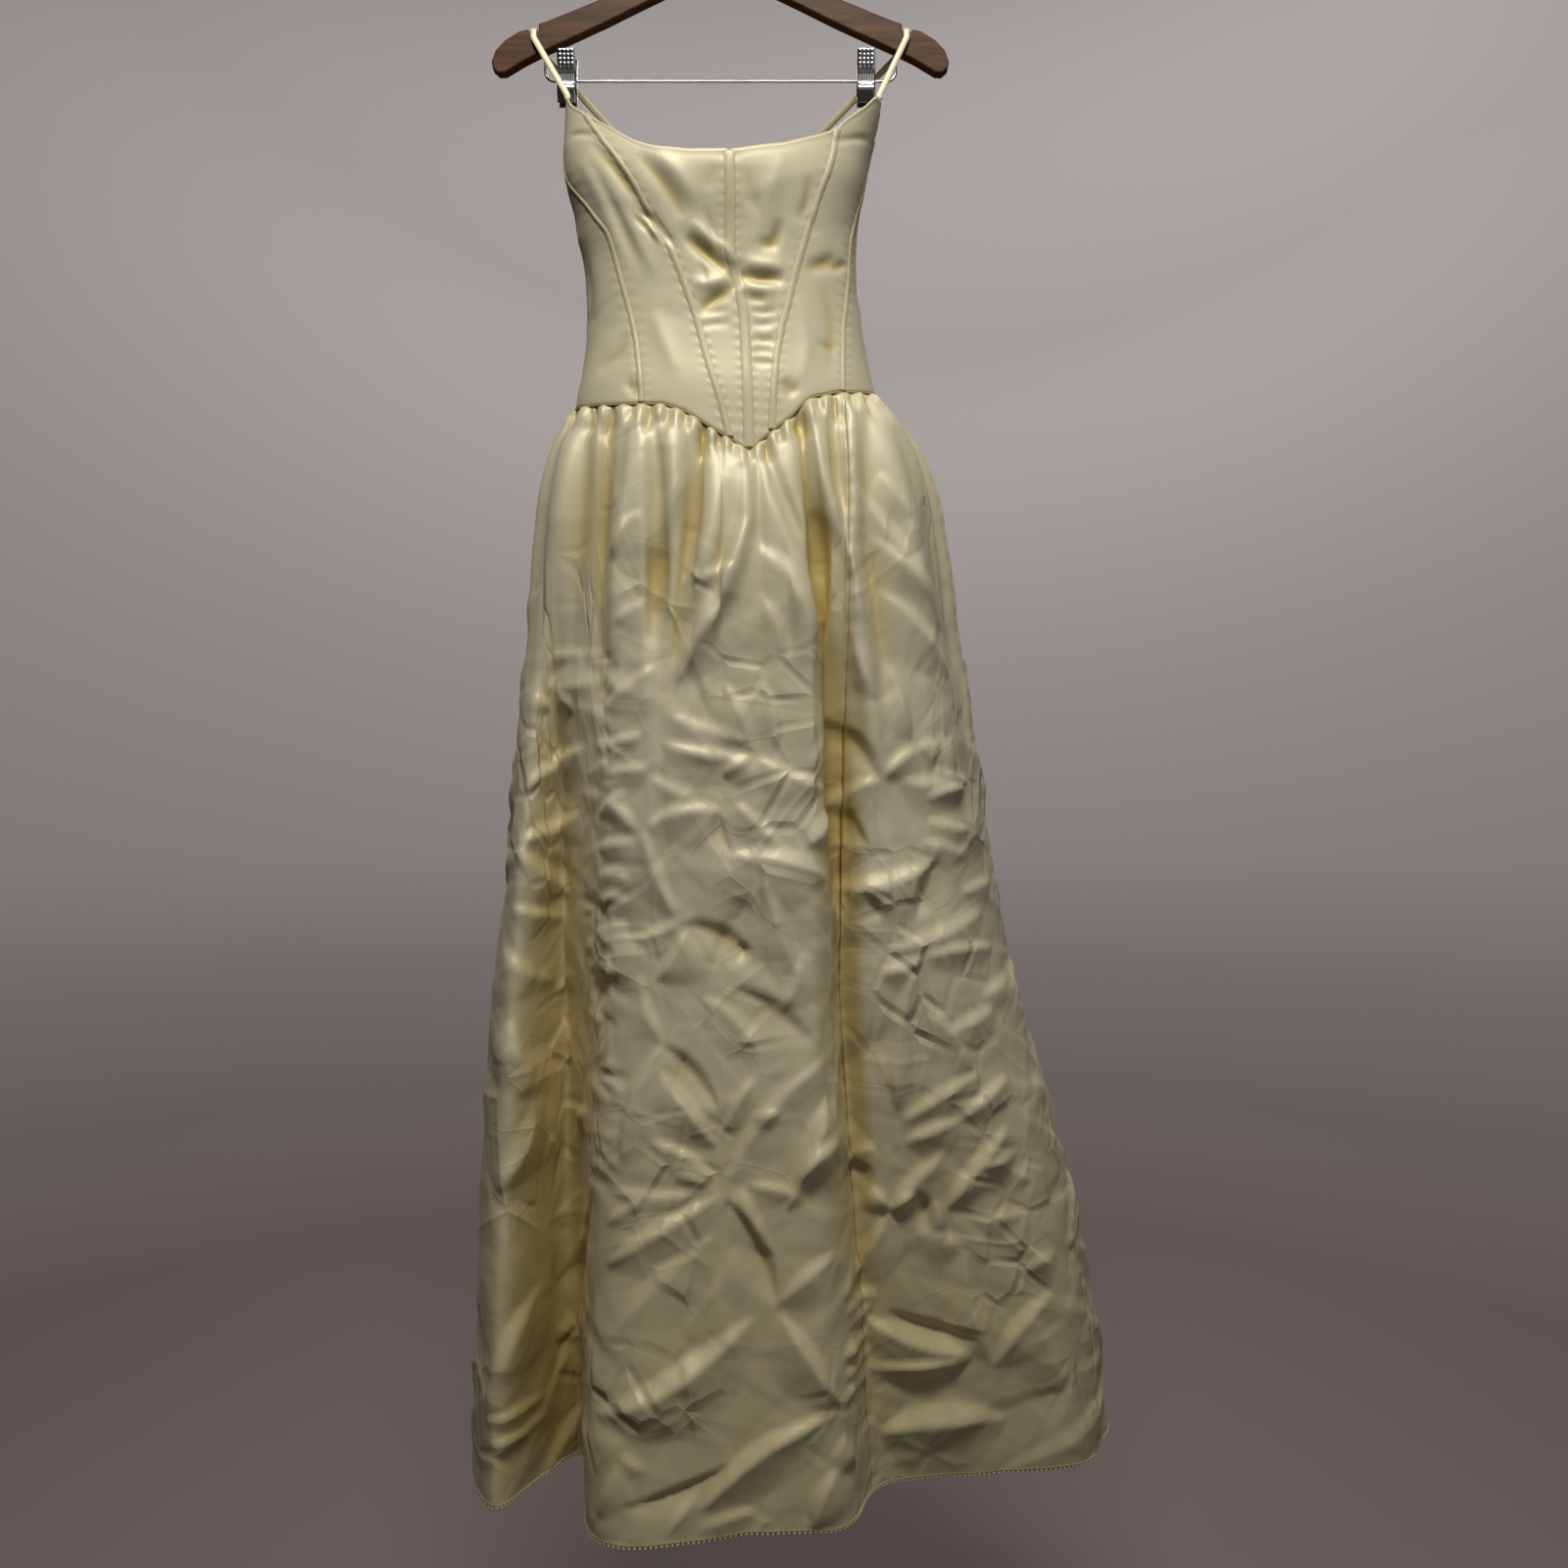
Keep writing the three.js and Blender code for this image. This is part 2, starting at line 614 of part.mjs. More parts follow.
// The slider's side view: a body with a bridge whose pin carries the pull
function sliderProfile() {
  const outline = new THREE.Shape();
  outline.moveTo(sliderFace, sliderZ - sliderHeight / 2);
  outline.lineTo(sliderFace + sliderDepth, sliderZ - sliderHeight / 2);
  outline.lineTo(sliderFace + sliderDepth, sliderZ + sliderHeight / 2);
  outline.lineTo(sliderFace, sliderZ + sliderHeight / 2);
  outline.closePath();
  return outline;
}

// Stands an outline drawn in Y and Z across X, centred on centre.
function acrossX(shape, width, centre) {
  const geometry = new THREE.ExtrudeGeometry(shape, { depth: width, bevelEnabled: false, curveSegments: 4 });
  geometry.translate(0, 0, -width / 2);
  geometry.applyMatrix4(new THREE.Matrix4().set(0, 0, 1, centre, 1, 0, 0, 0, 0, 1, 0, 0, 0, 0, 0, 1));
  return geometry;
}

add('zip_slider', acrossX(sliderProfile(), sliderWidth, centreX), materials.zipMetal);

// A lug on each side of the pull and the pin between them, in one bridge piece
function bridgeSections() {
  const half = eyeWidth / 2 + pinClear;
  const radius = eyeOuter - lugTrim;
  const base = sliderFace + sliderDepth + seamGap;
  const rectangle = (y0, y1, z0, z1) => [[y0, z0], [y1, z0], [y1, z1], [y0, z1]];
  const lug = rectangle(base, pinY + radius, sliderZ - radius, sliderZ + radius);
  const pin = rectangle(pinY - pinRadius, pinY + pinRadius, sliderZ - pinRadius, sliderZ + pinRadius);
  return [
    { x: -half - lugThickness, ring: lug },
    { x: -half, ring: lug },
    { x: -half, ring: pin },
    { x: half, ring: pin },
    { x: half, ring: lug },
    { x: half + lugThickness, ring: lug },
  ];
}

// A solid through rings of four corners that lie square to X.
function stack(sections, centre) {
  const positions = sections.flatMap(({ x, ring }) => ring.flatMap(([y, z]) => [centre + x, y, z]));
  const indices = [];
  const last = (sections.length - 1) * 4;
  for (let k = 0; k < last; k += 4) {
    for (let side = 0; side < 4; side++) {
      const [a, b] = [k + side, k + ((side + 1) % 4)];
      indices.push(a, b, b + 4, a, b + 4, a + 4);
    }
  }
  indices.push(0, 2, 1, 0, 3, 2);
  indices.push(last, last + 1, last + 2, last, last + 2, last + 3);
  return meshOf(positions, indices);
}

add('zip_bridge', stack(bridgeSections(), centreX), materials.zipMetal);

// The pull: an eye round the pin and a long drop-shaped plate
function pullShape() {
  const shape = new THREE.Shape();
  shape.moveTo(pinY + eyeOuter, sliderZ);
  shape.absarc(pinY, sliderZ, eyeOuter, 0, Math.PI, false);
  shape.lineTo(pinY - pullNeck.half, sliderZ - pullNeck.drop);
  shape.lineTo(pinY - pullTip, sliderZ - pullLength);
  shape.lineTo(pinY + pullTip, sliderZ - pullLength);
  shape.lineTo(pinY + pullNeck.half, sliderZ - pullNeck.drop);
  shape.closePath();
  const eye = new THREE.Path();
  eye.absarc(pinY, sliderZ, pinRadius * Math.SQRT2 + pinClear, 0, 2 * Math.PI, true);
  shape.holes.push(eye);
  return shape;
}

// The pull swings about a line along X through its eye.
add('zip_pull', acrossX(pullShape(), eyeWidth, centreX), materials.zipMetal);

// Hanger
// One arm's outline in X and Z, from the neck to the tip and back along its underside
const armTop = [
  [0, -95], [13, -96], [24, -101.5], [45, -110], [80, -127], [110, -141], [150, -157.5], [170, -165.5],
  [176.5, -167.5], [177, notchZ], [185.2, notchZ], [187, -173], [196, -175], [210, -184], [219, -194], [222.5, -204],
];
const armUnderside = [
  [221.5, -210.5], [216, -215.5], [209, -215], [190, -203.5], [172, -194.5], [150, -184.5], [110, -166],
  [80, -151], [45, -134], [20, -124.5], [0, -121.5],
];

function armsShape() {
  const right = [...armTop, ...armUnderside];
  const left = right.slice(1, -1).reverse().map(([x, z]) => [-x, z]);
  const points = [...right, ...left].map(([x, z]) => new THREE.Vector2(x, z));
  return new THREE.Shape(points.reverse());
}

// Stands an outline drawn in X and Z across Y, centred.
function acrossY(shape, thickness, options) {
  const geometry = new THREE.ExtrudeGeometry(shape, { depth: thickness, bevelEnabled: false, ...options });
  geometry.translate(0, 0, -thickness / 2);
  geometry.rotateX(Math.PI / 2);
  return geometry;
}

const armBevelled = {
  bevelEnabled: true,
  bevelThickness: armBevel,
  bevelSize: armBevel,
  bevelOffset: -armBevel,
  bevelSegments: 2,
};
add('hanger_arms', acrossY(armsShape(), armThickness - 2 * armBevel, armBevelled), materials.wood);

// A round wire along a smooth line.
function wire(points, diameter, steps, sides) {
  const path = new THREE.CatmullRomCurve3(points, false, 'centripetal');
  const ring = Array.from({ length: sides }, (_, k) => {
    const turn = (2 * Math.PI * k) / sides;
    return new THREE.Vector2((Math.cos(turn) * diameter) / 2, (Math.sin(turn) * diameter) / 2);
  });
  return new THREE.ExtrudeGeometry(new THREE.Shape(ring), { steps, extrudePath: path, bevelEnabled: false });
}

function hookLine() {
  const centreZ = hookWire / 2 - hookRadius;
  const points = [
    new THREE.Vector3(0, 0, armTop[0][1] + seamGap),
    ...hookShank.map(({ x, z }) => new THREE.Vector3(x, 0, z)),
  ];
  for (let degrees = hookArc.from; degrees <= hookArc.to; degrees += hookArc.step) {
    const [x, z] = [Math.cos(radians(degrees)), Math.sin(radians(degrees))];
    points.push(new THREE.Vector3(hookRadius * x, 0, centreZ + hookRadius * z));
  }
  return points;
}

add('hanger_hook', wire(hookLine(), hookWire, 30, 8), materials.chrome);

function barLine() {
  const underside = lookUp(armUnderside, barEndX, (row) => row[0], (row) => row[1]);
  const endZ = underside - seamGap - barEndDrop;
  const turn = (degrees) => [
    barEndX - barTurn + barTurn * Math.cos(radians(degrees)),
    barZ + barTurn - barTurn * Math.sin(radians(degrees)),
  ];
  const half = [[barEndX, endZ], ...[0, 30, 60, 90].map(turn), ...barStraight.map((x) => [x, barZ])];
  const line = [...half, ...half.slice().reverse().map(([x, z]) => [-x, z])];
  return line.map(([x, z]) => new THREE.Vector3(x, 0, z));
}

add('trouser_bar', wire(barLine(), barWire, 40, 6), materials.chrome);

// Clips: two sprung plates that pinch below the bar, on a sleeve that slides along it
// A plate's side view in Y and Z, from its grip down to its jaw, measured from the bar
const clipPlateLine = [
  [9.2, 27], [7.4, 20], [4.2, 5], [4.2, -4], [7.4, -9], [7.2, -13], [3.4, -22.5],
];

// A strip bent along a line in Y and Z, side 1 at the back and -1 in front.
function clipPlateGeometry(side, centre, centreZ) {
  const points = clipPlateLine.map(([y, z]) => new THREE.Vector3(centre, side * y, centreZ + z));
  return ribbon(points, new THREE.Vector3(1, 0, 0), clipWidth, clipPlate);
}

function sleeveGeometry(centre) {
  const profile = [
    [sleeveBore, -sleeveLength / 2], [sleeveRadius, -sleeveLength / 2],
    [sleeveRadius, sleeveLength / 2], [sleeveBore, sleeveLength / 2], [sleeveBore, -sleeveLength / 2],
  ].map(([r, x]) => new THREE.Vector2(r, x));
  const geometry = new THREE.LatheGeometry(profile, 12);
  geometry.rotateZ(-Math.PI / 2);
  geometry.translate(centre, 0, barZ);
  return geometry;
}

const padSize = { width: 15, depth: 1.9, height: 12 };
const padGap = 0.4;
const padDrop = 16.5;
const clips = [
  { name: 'right', x: -149.5 },
  { name: 'left', x: 142 },
];

for (const clip of clips) {
  add(`clip_${clip.name}_sleeve`, sleeveGeometry(clip.x), materials.chrome);
  for (const [face, side] of [['front', -1], ['back', 1]]) {
    add(`clip_${clip.name}_${face}`, clipPlateGeometry(side, clip.x, barZ), materials.chrome);
    const pad = new THREE.BoxGeometry(padSize.width, padSize.depth, padSize.height);
    pad.translate(clip.x, side * (padSize.depth + padGap) / 2, barZ - padDrop);
    add(`clip_${clip.name}_pad_${face}`, pad, materials.rubber);
  }
}

export default dress;
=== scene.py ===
"""A full-length satin dress with a boned bodice and a gathered skirt, on a wooden clip hanger.

Everything is in metres in the hanger's frame: the origin is the top of the hook's inside, +X the viewer's
right, -Y the front and +Z up. "left" and "right" in the names are the wearer's.
"""

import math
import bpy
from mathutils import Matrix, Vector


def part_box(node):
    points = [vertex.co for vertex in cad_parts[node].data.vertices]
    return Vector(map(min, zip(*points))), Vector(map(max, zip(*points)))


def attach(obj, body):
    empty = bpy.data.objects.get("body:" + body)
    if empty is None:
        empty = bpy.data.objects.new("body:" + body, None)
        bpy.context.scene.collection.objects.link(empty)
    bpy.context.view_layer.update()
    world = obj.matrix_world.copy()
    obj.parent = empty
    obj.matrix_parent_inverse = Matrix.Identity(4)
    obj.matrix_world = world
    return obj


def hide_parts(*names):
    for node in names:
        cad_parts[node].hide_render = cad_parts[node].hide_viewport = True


bl_info = {
    "name": "Corset Dress on a Clip Hanger",
    "version": (1, 0, 0),
    "blender": (4, 5, 0),
    "location": "3D View > Sidebar > Dress",
    "description": "Models a gathered satin dress with a boned bodice, and the hanger that carries it",
    "category": "Object",
}

import bmesh
import bpy
import numpy as np
from bpy.props import FloatProperty, FloatVectorProperty, PointerProperty
from mathutils import Matrix, Vector

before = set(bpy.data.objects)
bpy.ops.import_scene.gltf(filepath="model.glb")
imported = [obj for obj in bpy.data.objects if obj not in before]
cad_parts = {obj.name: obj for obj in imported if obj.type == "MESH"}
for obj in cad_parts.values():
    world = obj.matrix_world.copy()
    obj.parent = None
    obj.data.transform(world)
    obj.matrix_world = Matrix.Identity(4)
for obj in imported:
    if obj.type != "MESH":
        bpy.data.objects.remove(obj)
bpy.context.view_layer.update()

MM = 0.001
SEED = 2207

# The bodice's cross-section by height, in millimetres
SECTION_COLUMNS = ("z", "centre", "half", "front", "back")
SECTIONS = (
    (-610, 6.5, 150.5, 80, 74),
    (-540, 6.5, 146.5, 78, 73),
    (-505, 6, 139, 73, 69),
    (-476, 5.2, 134.3, 71, 67),
    (-443, 2.2, 131.6, 72, 66),
    (-409, 0.3, 131.6, 75, 66),
    (-381, -2.3, 134.7, 80, 68),
    (-357, -3.1, 137.8, 86, 70),
    (-333, -4, 144.5, 88, 72),
    (-309, -4.3, 148.1, 82, 72),
    (-255, 3, 153, 72, 68),
    (-240, 4, 153, 70, 67),
)
ROUNDNESS = 2.4

# Angles are in degrees: 0 at the front, 90 at +X, -90 at -X and 180 at the back.
TOP_EDGE = (
    (-180, -281), (-150, -283), (-132, -294), (-118, -311), (-106, -320), (-97, -311), (-89, -286), (-81, -248),
    (-74, -247), (-63.5, -262), (-49.5, -280), (-35, -304), (-28.5, -316), (-21.5, -324), (-9, -329), (8.5, -329),
    (26, -320), (38.5, -307), (44.5, -299), (51.5, -281), (67.5, -251), (74, -247), (81, -248), (89, -286),
    (97, -311), (106, -320), (118, -311), (132, -294), (150, -283), (180, -281),
)
WAIST_EDGE = (
    (-180, -545), (-91, -543), (-55, -552), (-35.5, -556), (-21, -558), (-13, -566), (-3.5, -582), (3, -592),
    (9, -602), (15.5, -587), (24.5, -568), (28, -557), (32, -550), (42.5, -543), (67, -535), (92, -533),
    (180, -545),
)

# The bodice's seams: each is a run of angles by height, with the width of the boning channel over it
BODICE_SEAMS = (
    ("centre_back_start", 0, ((-180, -545), (-180, -281))),
    ("back_right", 0, ((-152, -545), (-146, -420), (-147, -284))),
    ("side_right", 0, ((-95, -544), (-98, -440), (-112, -318))),
    ("front_side_right", 6, ((-29.5, -557), (-31, -529), (-34, -497), (-39, -456), (-43, -422), (-46, -392),
                             (-58.5, -360), (-72.5, -332), (-88, -283))),
    ("princess_right", 7, ((2.5, -592), (-1, -555), (-6, -515), (-10.5, -473), (-15, -437), (-20, -404),
                           (-24.5, -387), (-30.5, -355), (-36.5, -326), (-43, -302), (-52, -277))),
    ("centre_front", 10, ((9, -602), (8.5, -522), (8.5, -475), (8, -447), (5, -417), (6.5, -371), (6.5, -329))),
    ("princess_left", 7, ((17, -584), (17.5, -555), (19.5, -515), (23, -483), (27, -459), (32.5, -423),
                          (39, -384), (45, -341), (46.5, -319), (46.5, -295))),
    ("front_side_left", 6, ((45.5, -542), (46.5, -530), (52.5, -478), (62.5, -432), (67, -390), (79.5, -340),
                            (88, -283))),
    ("side_left", 0, ((92, -533), (96, -440), (112, -318))),
    ("back_left", 0, ((152, -542), (146, -420), (147, -284))),
    ("centre_back_end", 0, ((180, -545), (180, -281))),
)
PANELS = (
    "back_centre_right", "back_side_right", "side_right", "front_side_right", "front_centre_right",
    "front_centre_left", "front_side_left", "side_left", "back_side_left", "back_centre_left",
)

# The skirt's largest folds, anticlockwise from the centre back: angles at the waist and hip, and places in plan
# at the skirt's middle and hem, with how far the side swells between them
FOLD_COLUMNS = ("waist", "hip", "mid_x", "mid_y", "hem_x", "hem_y", "belly")
FOLDS = (
    (-180, -180, 20, 95, 30, 104, 0),
    (-165, -165, -35, 115, -45, 136, 0),
    (-149, -150, -85, 92, -110, 102, 0),
    (-132, -134, -140, 104, -170, 126, 0),
    (-116, -117, -190, 75, -222, 90, 4),
    (-103, -103, -216, 38, -246, 40, 5),
    (-92, -90, -222, 0, -237, -12, 5),
    (-79, -72, -192, -52, -207, -58, 2),
    (-67, -57, -152, 5, -160, 30, 0),
    (-58, -50, -138, -15, -143, 42, 0),
    (-45, -37, -97, -72, -112, -100, 2),
    (-32, -27, -60, -90, -85, -120, 2),
    (1, -3, 10, -94, 27, -99, 3),
    (25, 19, 90, -87, 106, -92, 2),
    (35, 25, 104, -68, 128, -75, 0),
    (45.5, 30, 114, -42, 146, -31, 0),
    (53, 38, 137, -64, 165, -14, 2),
    (63, 51, 178, -60, 215, 0, 5),
    (74, 66, 232, -42, 303, 9, 8),
    (83, 80, 266, -15, 354, 21, 12),
    (92, 92, 284, 18, 382, 50, 16),
    (100, 101, 288, 60, 404, 112, 16),
    (113, 113, 258, 96, 360, 130, 10),
    (128, 128, 215, 85, 300, 100, 4),
    (141, 141, 168, 112, 240, 136, 0),
    (153, 153, 118, 92, 170, 102, 0),
    (167, 166, 68, 116, 100, 138, 0),
)
HIP_RING = {"centre": 21, "half": 193, "front": 98, "back": 92}
HEM_Z, MID_Z, HIP_Z = -1584, -1100, -660
PUFF_RUN = 50
WAIST_GAP = 0.14

# The gores: name, the waist angles of its side edges, and the columns of its mesh
GORES = (
    ("back_right", -180, -95, 130),
    ("front_right", -95, 45.5, 180),
    ("front_left", 45.5, 92, 95),
    ("back_left", 92, 180, 150),
)
SKIRT_ROWS = 270

# Folds are soft rounded ridges (height above 0) or troughs (below 0) along a line of places seen from the front,
# in millimetres. Their columns are height, width and places.

# The bodice's: the buckle under the bust, ripples beside the centre front, and drags and puckers on the cups
BODICE_FOLDS = (
    (-3.4, 5, ((-28, -404), (-12, -417), (9, -434))),
    (-2.2, 7, ((14, -426), (18, -452))),
    (-3.2, 4.5, ((22, -437), (40, -441), (62, -440))),
    (-3.0, 5, ((-16, -470), (-2, -460), (14, -450))),
    (-1.8, 4, ((24, -457), (46, -461))),
    (-2.6, 5, ((38, -411), (52, -409), (60, -388))),
    (-2.6, 6, ((84, -428), (98, -422), (112, -414))),
    (-2.2, 5, ((60, -536), (68, -545), (76, -541))),
    (-1.4, 3, ((29, -470), (42, -471.5), (55, -470))),
    (-1.3, 3, ((30, -482), (42, -483), (54, -481))),
    (-1.4, 3, ((32, -496), (43, -498), (56, -497))),
    (-1.0, 2.6, ((34, -508), (52, -508))),
    (-1.2, 2.6, ((34, -519), (52, -520))),
    (-1.0, 3, ((-14, -473), (10, -470))),
    (-0.9, 3, ((-14, -484), (12, -482))),
    (2.2, 5, ((-24, -392), (-4, -408), (16, -424))),
    (2.0, 6, ((-24, -446), (-4, -446), (14, -440))),
    (1.8, 5, ((26, -427), (44, -429), (62, -430))),
    (1.6, 5, ((26, -450), (56, -451))),
    (-2.6, 3.2, ((-72, -379), (-60, -387), (-50, -400), (-40, -411))),
    (2.0, 3.5, ((-64, -392), (-52, -406))),
    (-1.6, 2.4, ((-76, -384), (-64, -396), (-56, -408))),
    (-2.2, 7, ((-70, -333), (-52, -352), (-38, -372), (-30, -388))),
    (1.6, 7, ((-56, -330), (-34, -352), (-18, -376))),
    (-1.2, 2.4, ((-11, -380), (-5, -398), (3, -418))),
    (-1.0, 2.4, ((-14, -428), (-10, -446))),
    (-2.0, 5, ((-116, -312), (-92, -344), (-66, -380))),
    (1.6, 6, ((-127, -326), (-108, -362), (-84, -424))),
    (-1.4, 6, ((-118, -330), (-96, -372), (-70, -430))),
    (1.3, 6, ((-108, -340), (-84, -384), (-56, -436))),
    (-1.4, 5, ((-132, -400), (-124, -432), (-122, -470))),
    (-1.5, 5, ((-112, -520), (-92, -506), (-84, -488))),
    (-2.0, 4, ((-82, -532), (-74, -549))),
    (1.2, 8, ((-60, -470), (-48, -500), (-36, -530))),
    (-1.6, 3, ((108, -425), (122, -414))),
    (-1.1, 4, ((92, -497), (112, -502))),
    (-1.2, 5, ((84, -380), (92, -398))),
    (-1.5, 4, ((76, -388), (84, -370), (86, -350))),
    (-1.2, 5, ((26, -346), (32, -372), (44, -392))),
    (1.2, 7, ((60, -336), (48, -372), (42, -396))),
    (-1.0, 6, ((0, -344), (-8, -366))),
    (-1.3, 7, ((100, -440), (108, -480), (104, -528))),
    (1.2, 7, ((76, -456), (84, -500), (80, -534))),
    (-1.1, 2.4, ((106, -311), (126, -301), (148, -289))),
    (-1.1, 2.4, ((-112, -306), (-128, -298), (-142, -293))),
)

# Creases are sharp: each stands up along a straight line between two places seen from the front, falls off steeply
# above it and slowly below, and narrows to nothing at both ends. The columns are x0, z0, x1, z1, height and width.


def column_of(rows, columns, name):
    """One column of a table as an array."""
    return np.array([row[columns.index(name)] for row in rows], float)


def blurred(x, xs, ys, reach):
    """The table ys over xs at x, on straight lines whose corners are softened over reach."""
    taps = np.linspace(-1, 1, 9)
    return sum(np.interp(x + reach * tap, xs, ys) for tap in taps) / len(taps)


def smooth_step(x, low, high):
    t = np.clip((x - low) / (high - low), 0, 1)
    return t * t * (3 - 2 * t)


SECTION_Z = column_of(SECTIONS, SECTION_COLUMNS, "z")


def section(z, name):
    return blurred(z, SECTION_Z, column_of(SECTIONS, SECTION_COLUMNS, name), 12)


def top_z(angle):
    xs, ys = zip(*TOP_EDGE)
    return blurred(angle, xs, ys, 1.5)


def waist_z(angle):
    xs, ys = zip(*WAIST_EDGE)
    return blurred(angle, xs, ys, 1.2)


def ring_plan(angle, centre, half, front, back):
    """Places in plan on a rounded oblong ring."""
    s, c = np.sin(np.radians(angle)), np.cos(np.radians(angle))
    reach = (np.abs(s) ** ROUNDNESS + np.abs(c) ** ROUNDNESS) ** (-1 / ROUNDNESS)
    depth = np.where(c > 0, front, back)
    return centre + half * reach * s, -depth * reach * c


def bodice_plan(angle, z):
    return ring_plan(angle, section(z, "centre"), section(z, "half"), section(z, "front"), section(z, "back"))


def bodice_arc(angle, z):
    """Millimetres round the bodice for each degree."""
    x0, y0 = bodice_plan(angle - 0.5, z)
    x1, y1 = bodice_plan(angle + 0.5, z)
    return np.hypot(x1 - x0, y1 - y0)


def near_line(x, z, points, reach):
    """Which places lie within reach of a line's box."""
    xs, zs = [p[0] for p in points], [p[1] for p in points]
    return (x > min(xs) - reach) & (x < max(xs) + reach) & (z > min(zs) - reach) & (z < max(zs) + reach)


def fold_field(x, z, folds, softness):
    """The height of soft folds along lines of places."""
    field = np.zeros(x.shape)
    for height, width, points in folds:
        near = near_line(x, z, points, 4 * width + 2 * softness)
        if not near.any():
            continue
        px, pz = x[near], z[near]
        lengths = [math.dist(a, b) for a, b in zip(points[:-1], points[1:])]
        total, done = sum(lengths), 0
        away, share = np.full(px.shape, np.inf), np.zeros(px.shape)
        for (x0, z0), (x1, z1), length in zip(points[:-1], points[1:], lengths):
            t = ((px - x0) * (x1 - x0) + (pz - z0) * (z1 - z0)) / length**2
            held = np.clip(t, 0, 1)
            gap = np.hypot(px - x0 - held * (x1 - x0), pz - z0 - held * (z1 - z0))
            closer = gap < away
            away = np.where(closer, gap, away)
            share = np.where(closer, (done + held * length) / total, share)
            done += length
        swell = 0.15 + 0.85 * np.sin(np.pi * share) ** 0.7
        field[near] += height * swell * np.exp(-(((np.sqrt(away**2 + softness**2) - softness) / width) ** 1.6))
    return field


def crease_field(x, z, creases, turn=None):
    """The height of sharp creases. A turn is the length after which x comes round again."""
    field = np.zeros(x.shape)
    for x0, z0, x1, z1, height, width in creases:
        for shift in (0,) if turn is None else (-turn, 0, turn):
            ends = ((x0 + shift, z0), (x1 + shift, z1))
            near = near_line(x, z, ends, 5 * width)
            if not near.any():
                continue
            length = math.dist(*ends)
            ux, uz = (x1 - x0) / length, (z1 - z0) / length
            up = 1 if ux >= 0 else -1
            dx, dz = x[near] - ends[0][0], z[near] - z0
            t = np.clip((dx * ux + dz * uz) / length, 0, 1)
            bow = 0.07 * length * math.sin(0.37 * x0 + 0.23 * z1)
            above = up * (dz * ux - dx * uz) - bow * 4 * t * (1 - t)
            lens = np.sin(np.pi * t) ** 0.7
            wide = width * lens + 0.6
            steep = 1 - above / wide
            steep = (steep + np.sqrt(steep**2 + 0.006)) / 2
            slow = np.clip(1 + np.minimum(above, 0) / (3.2 * wide), 0, 1) ** 1.3
            field[near] += height * lens * np.where(above > 0, steep, slow)
    return field


def random_creases(seed, count, x_range, z_range, length, height, width):
    """Seeded creases of mixed direction, for cloth that the front view doesn't show."""
    draw = np.random.default_rng(seed)
    rows = []
    for _ in range(count):
        x, z = draw.uniform(*x_range), draw.uniform(*z_range)
        lean, half = draw.uniform(-0.9, 0.9), draw.uniform(*length) / 2
        rise = draw.uniform(*height) * draw.choice((-1, 1))
        dx, dz = half * math.cos(lean), half * math.sin(lean)
        rows.append((x - dx, z - dz, x + dx, z + dz, rise, draw.uniform(*width)))
    return rows


def random_folds(seed, count, x_range, z_range, length, height, width):
    """Seeded soft folds of mixed direction."""
    return [(rise, wide, ((x0, z0), (x1, z1)))
            for x0, z0, x1, z1, rise, wide in random_creases(seed, count, x_range, z_range, length, height, width)]


HIDDEN_BODICE_FOLDS = random_folds(SEED, 70, (-330, 330), (-530, -300), (25, 90), (0.5, 1.6), (4, 9))


def bodice_relief(angle, z):
    """How far the bodice's cloth stands out of its plain form."""
    x, _ = bodice_plan(angle, z)
    front = np.clip((np.cos(np.radians(angle)) - 0.1) / 0.3, 0, 1)
    shown = 1.35 * fold_field(x, z, BODICE_FOLDS, 0.8)
    around = angle * 330 / 180
    hidden = fold_field(around, z, HIDDEN_BODICE_FOLDS, 1.5)
    back = smooth_step(np.abs(angle), 176, 168)
    edge = 0.3 + 0.7 * smooth_step(top_z(angle) - z, 0, 14)
    return edge * (front * shown + (1 - 0.7 * front) * back * hidden)


def bodice_surface(angle, z, lift):
    """Points of the bodice's dressed surface in metres, raised by lift millimetres."""
    x0, y0 = bodice_plan(angle - 0.5, z)
    x1, y1 = bodice_plan(angle + 0.5, z)
    out = np.stack([y1 - y0, x0 - x1], -1)
    out /= np.linalg.norm(out, axis=-1, keepdims=True)
    x, y = bodice_plan(angle, z)
    height = bodice_relief(angle, z) + lift
    return np.stack([x + out[..., 0] * height, y + out[..., 1] * height, z + np.zeros_like(x)], -1) * MM


def seam_angle(seam, z):
    run = sorted((height, angle) for angle, height in seam[2])
    heights, angles = zip(*run)
    return blurred(z, heights, angles, 5)


def seam_height(seam, v):
    """The height of a point v of the way up a seam."""
    low, high = seam[2][0][1], seam[2][-1][1]
    bottom = waist_z(seam_angle(seam, low))
    top = top_z(seam_angle(seam, high))
    return bottom + (top - bottom) * v


def panel_angle(left, right, u, v):
    a = seam_angle(left, seam_height(left, v))
    b = seam_angle(right, seam_height(right, v))
    return a + (b - a) * u


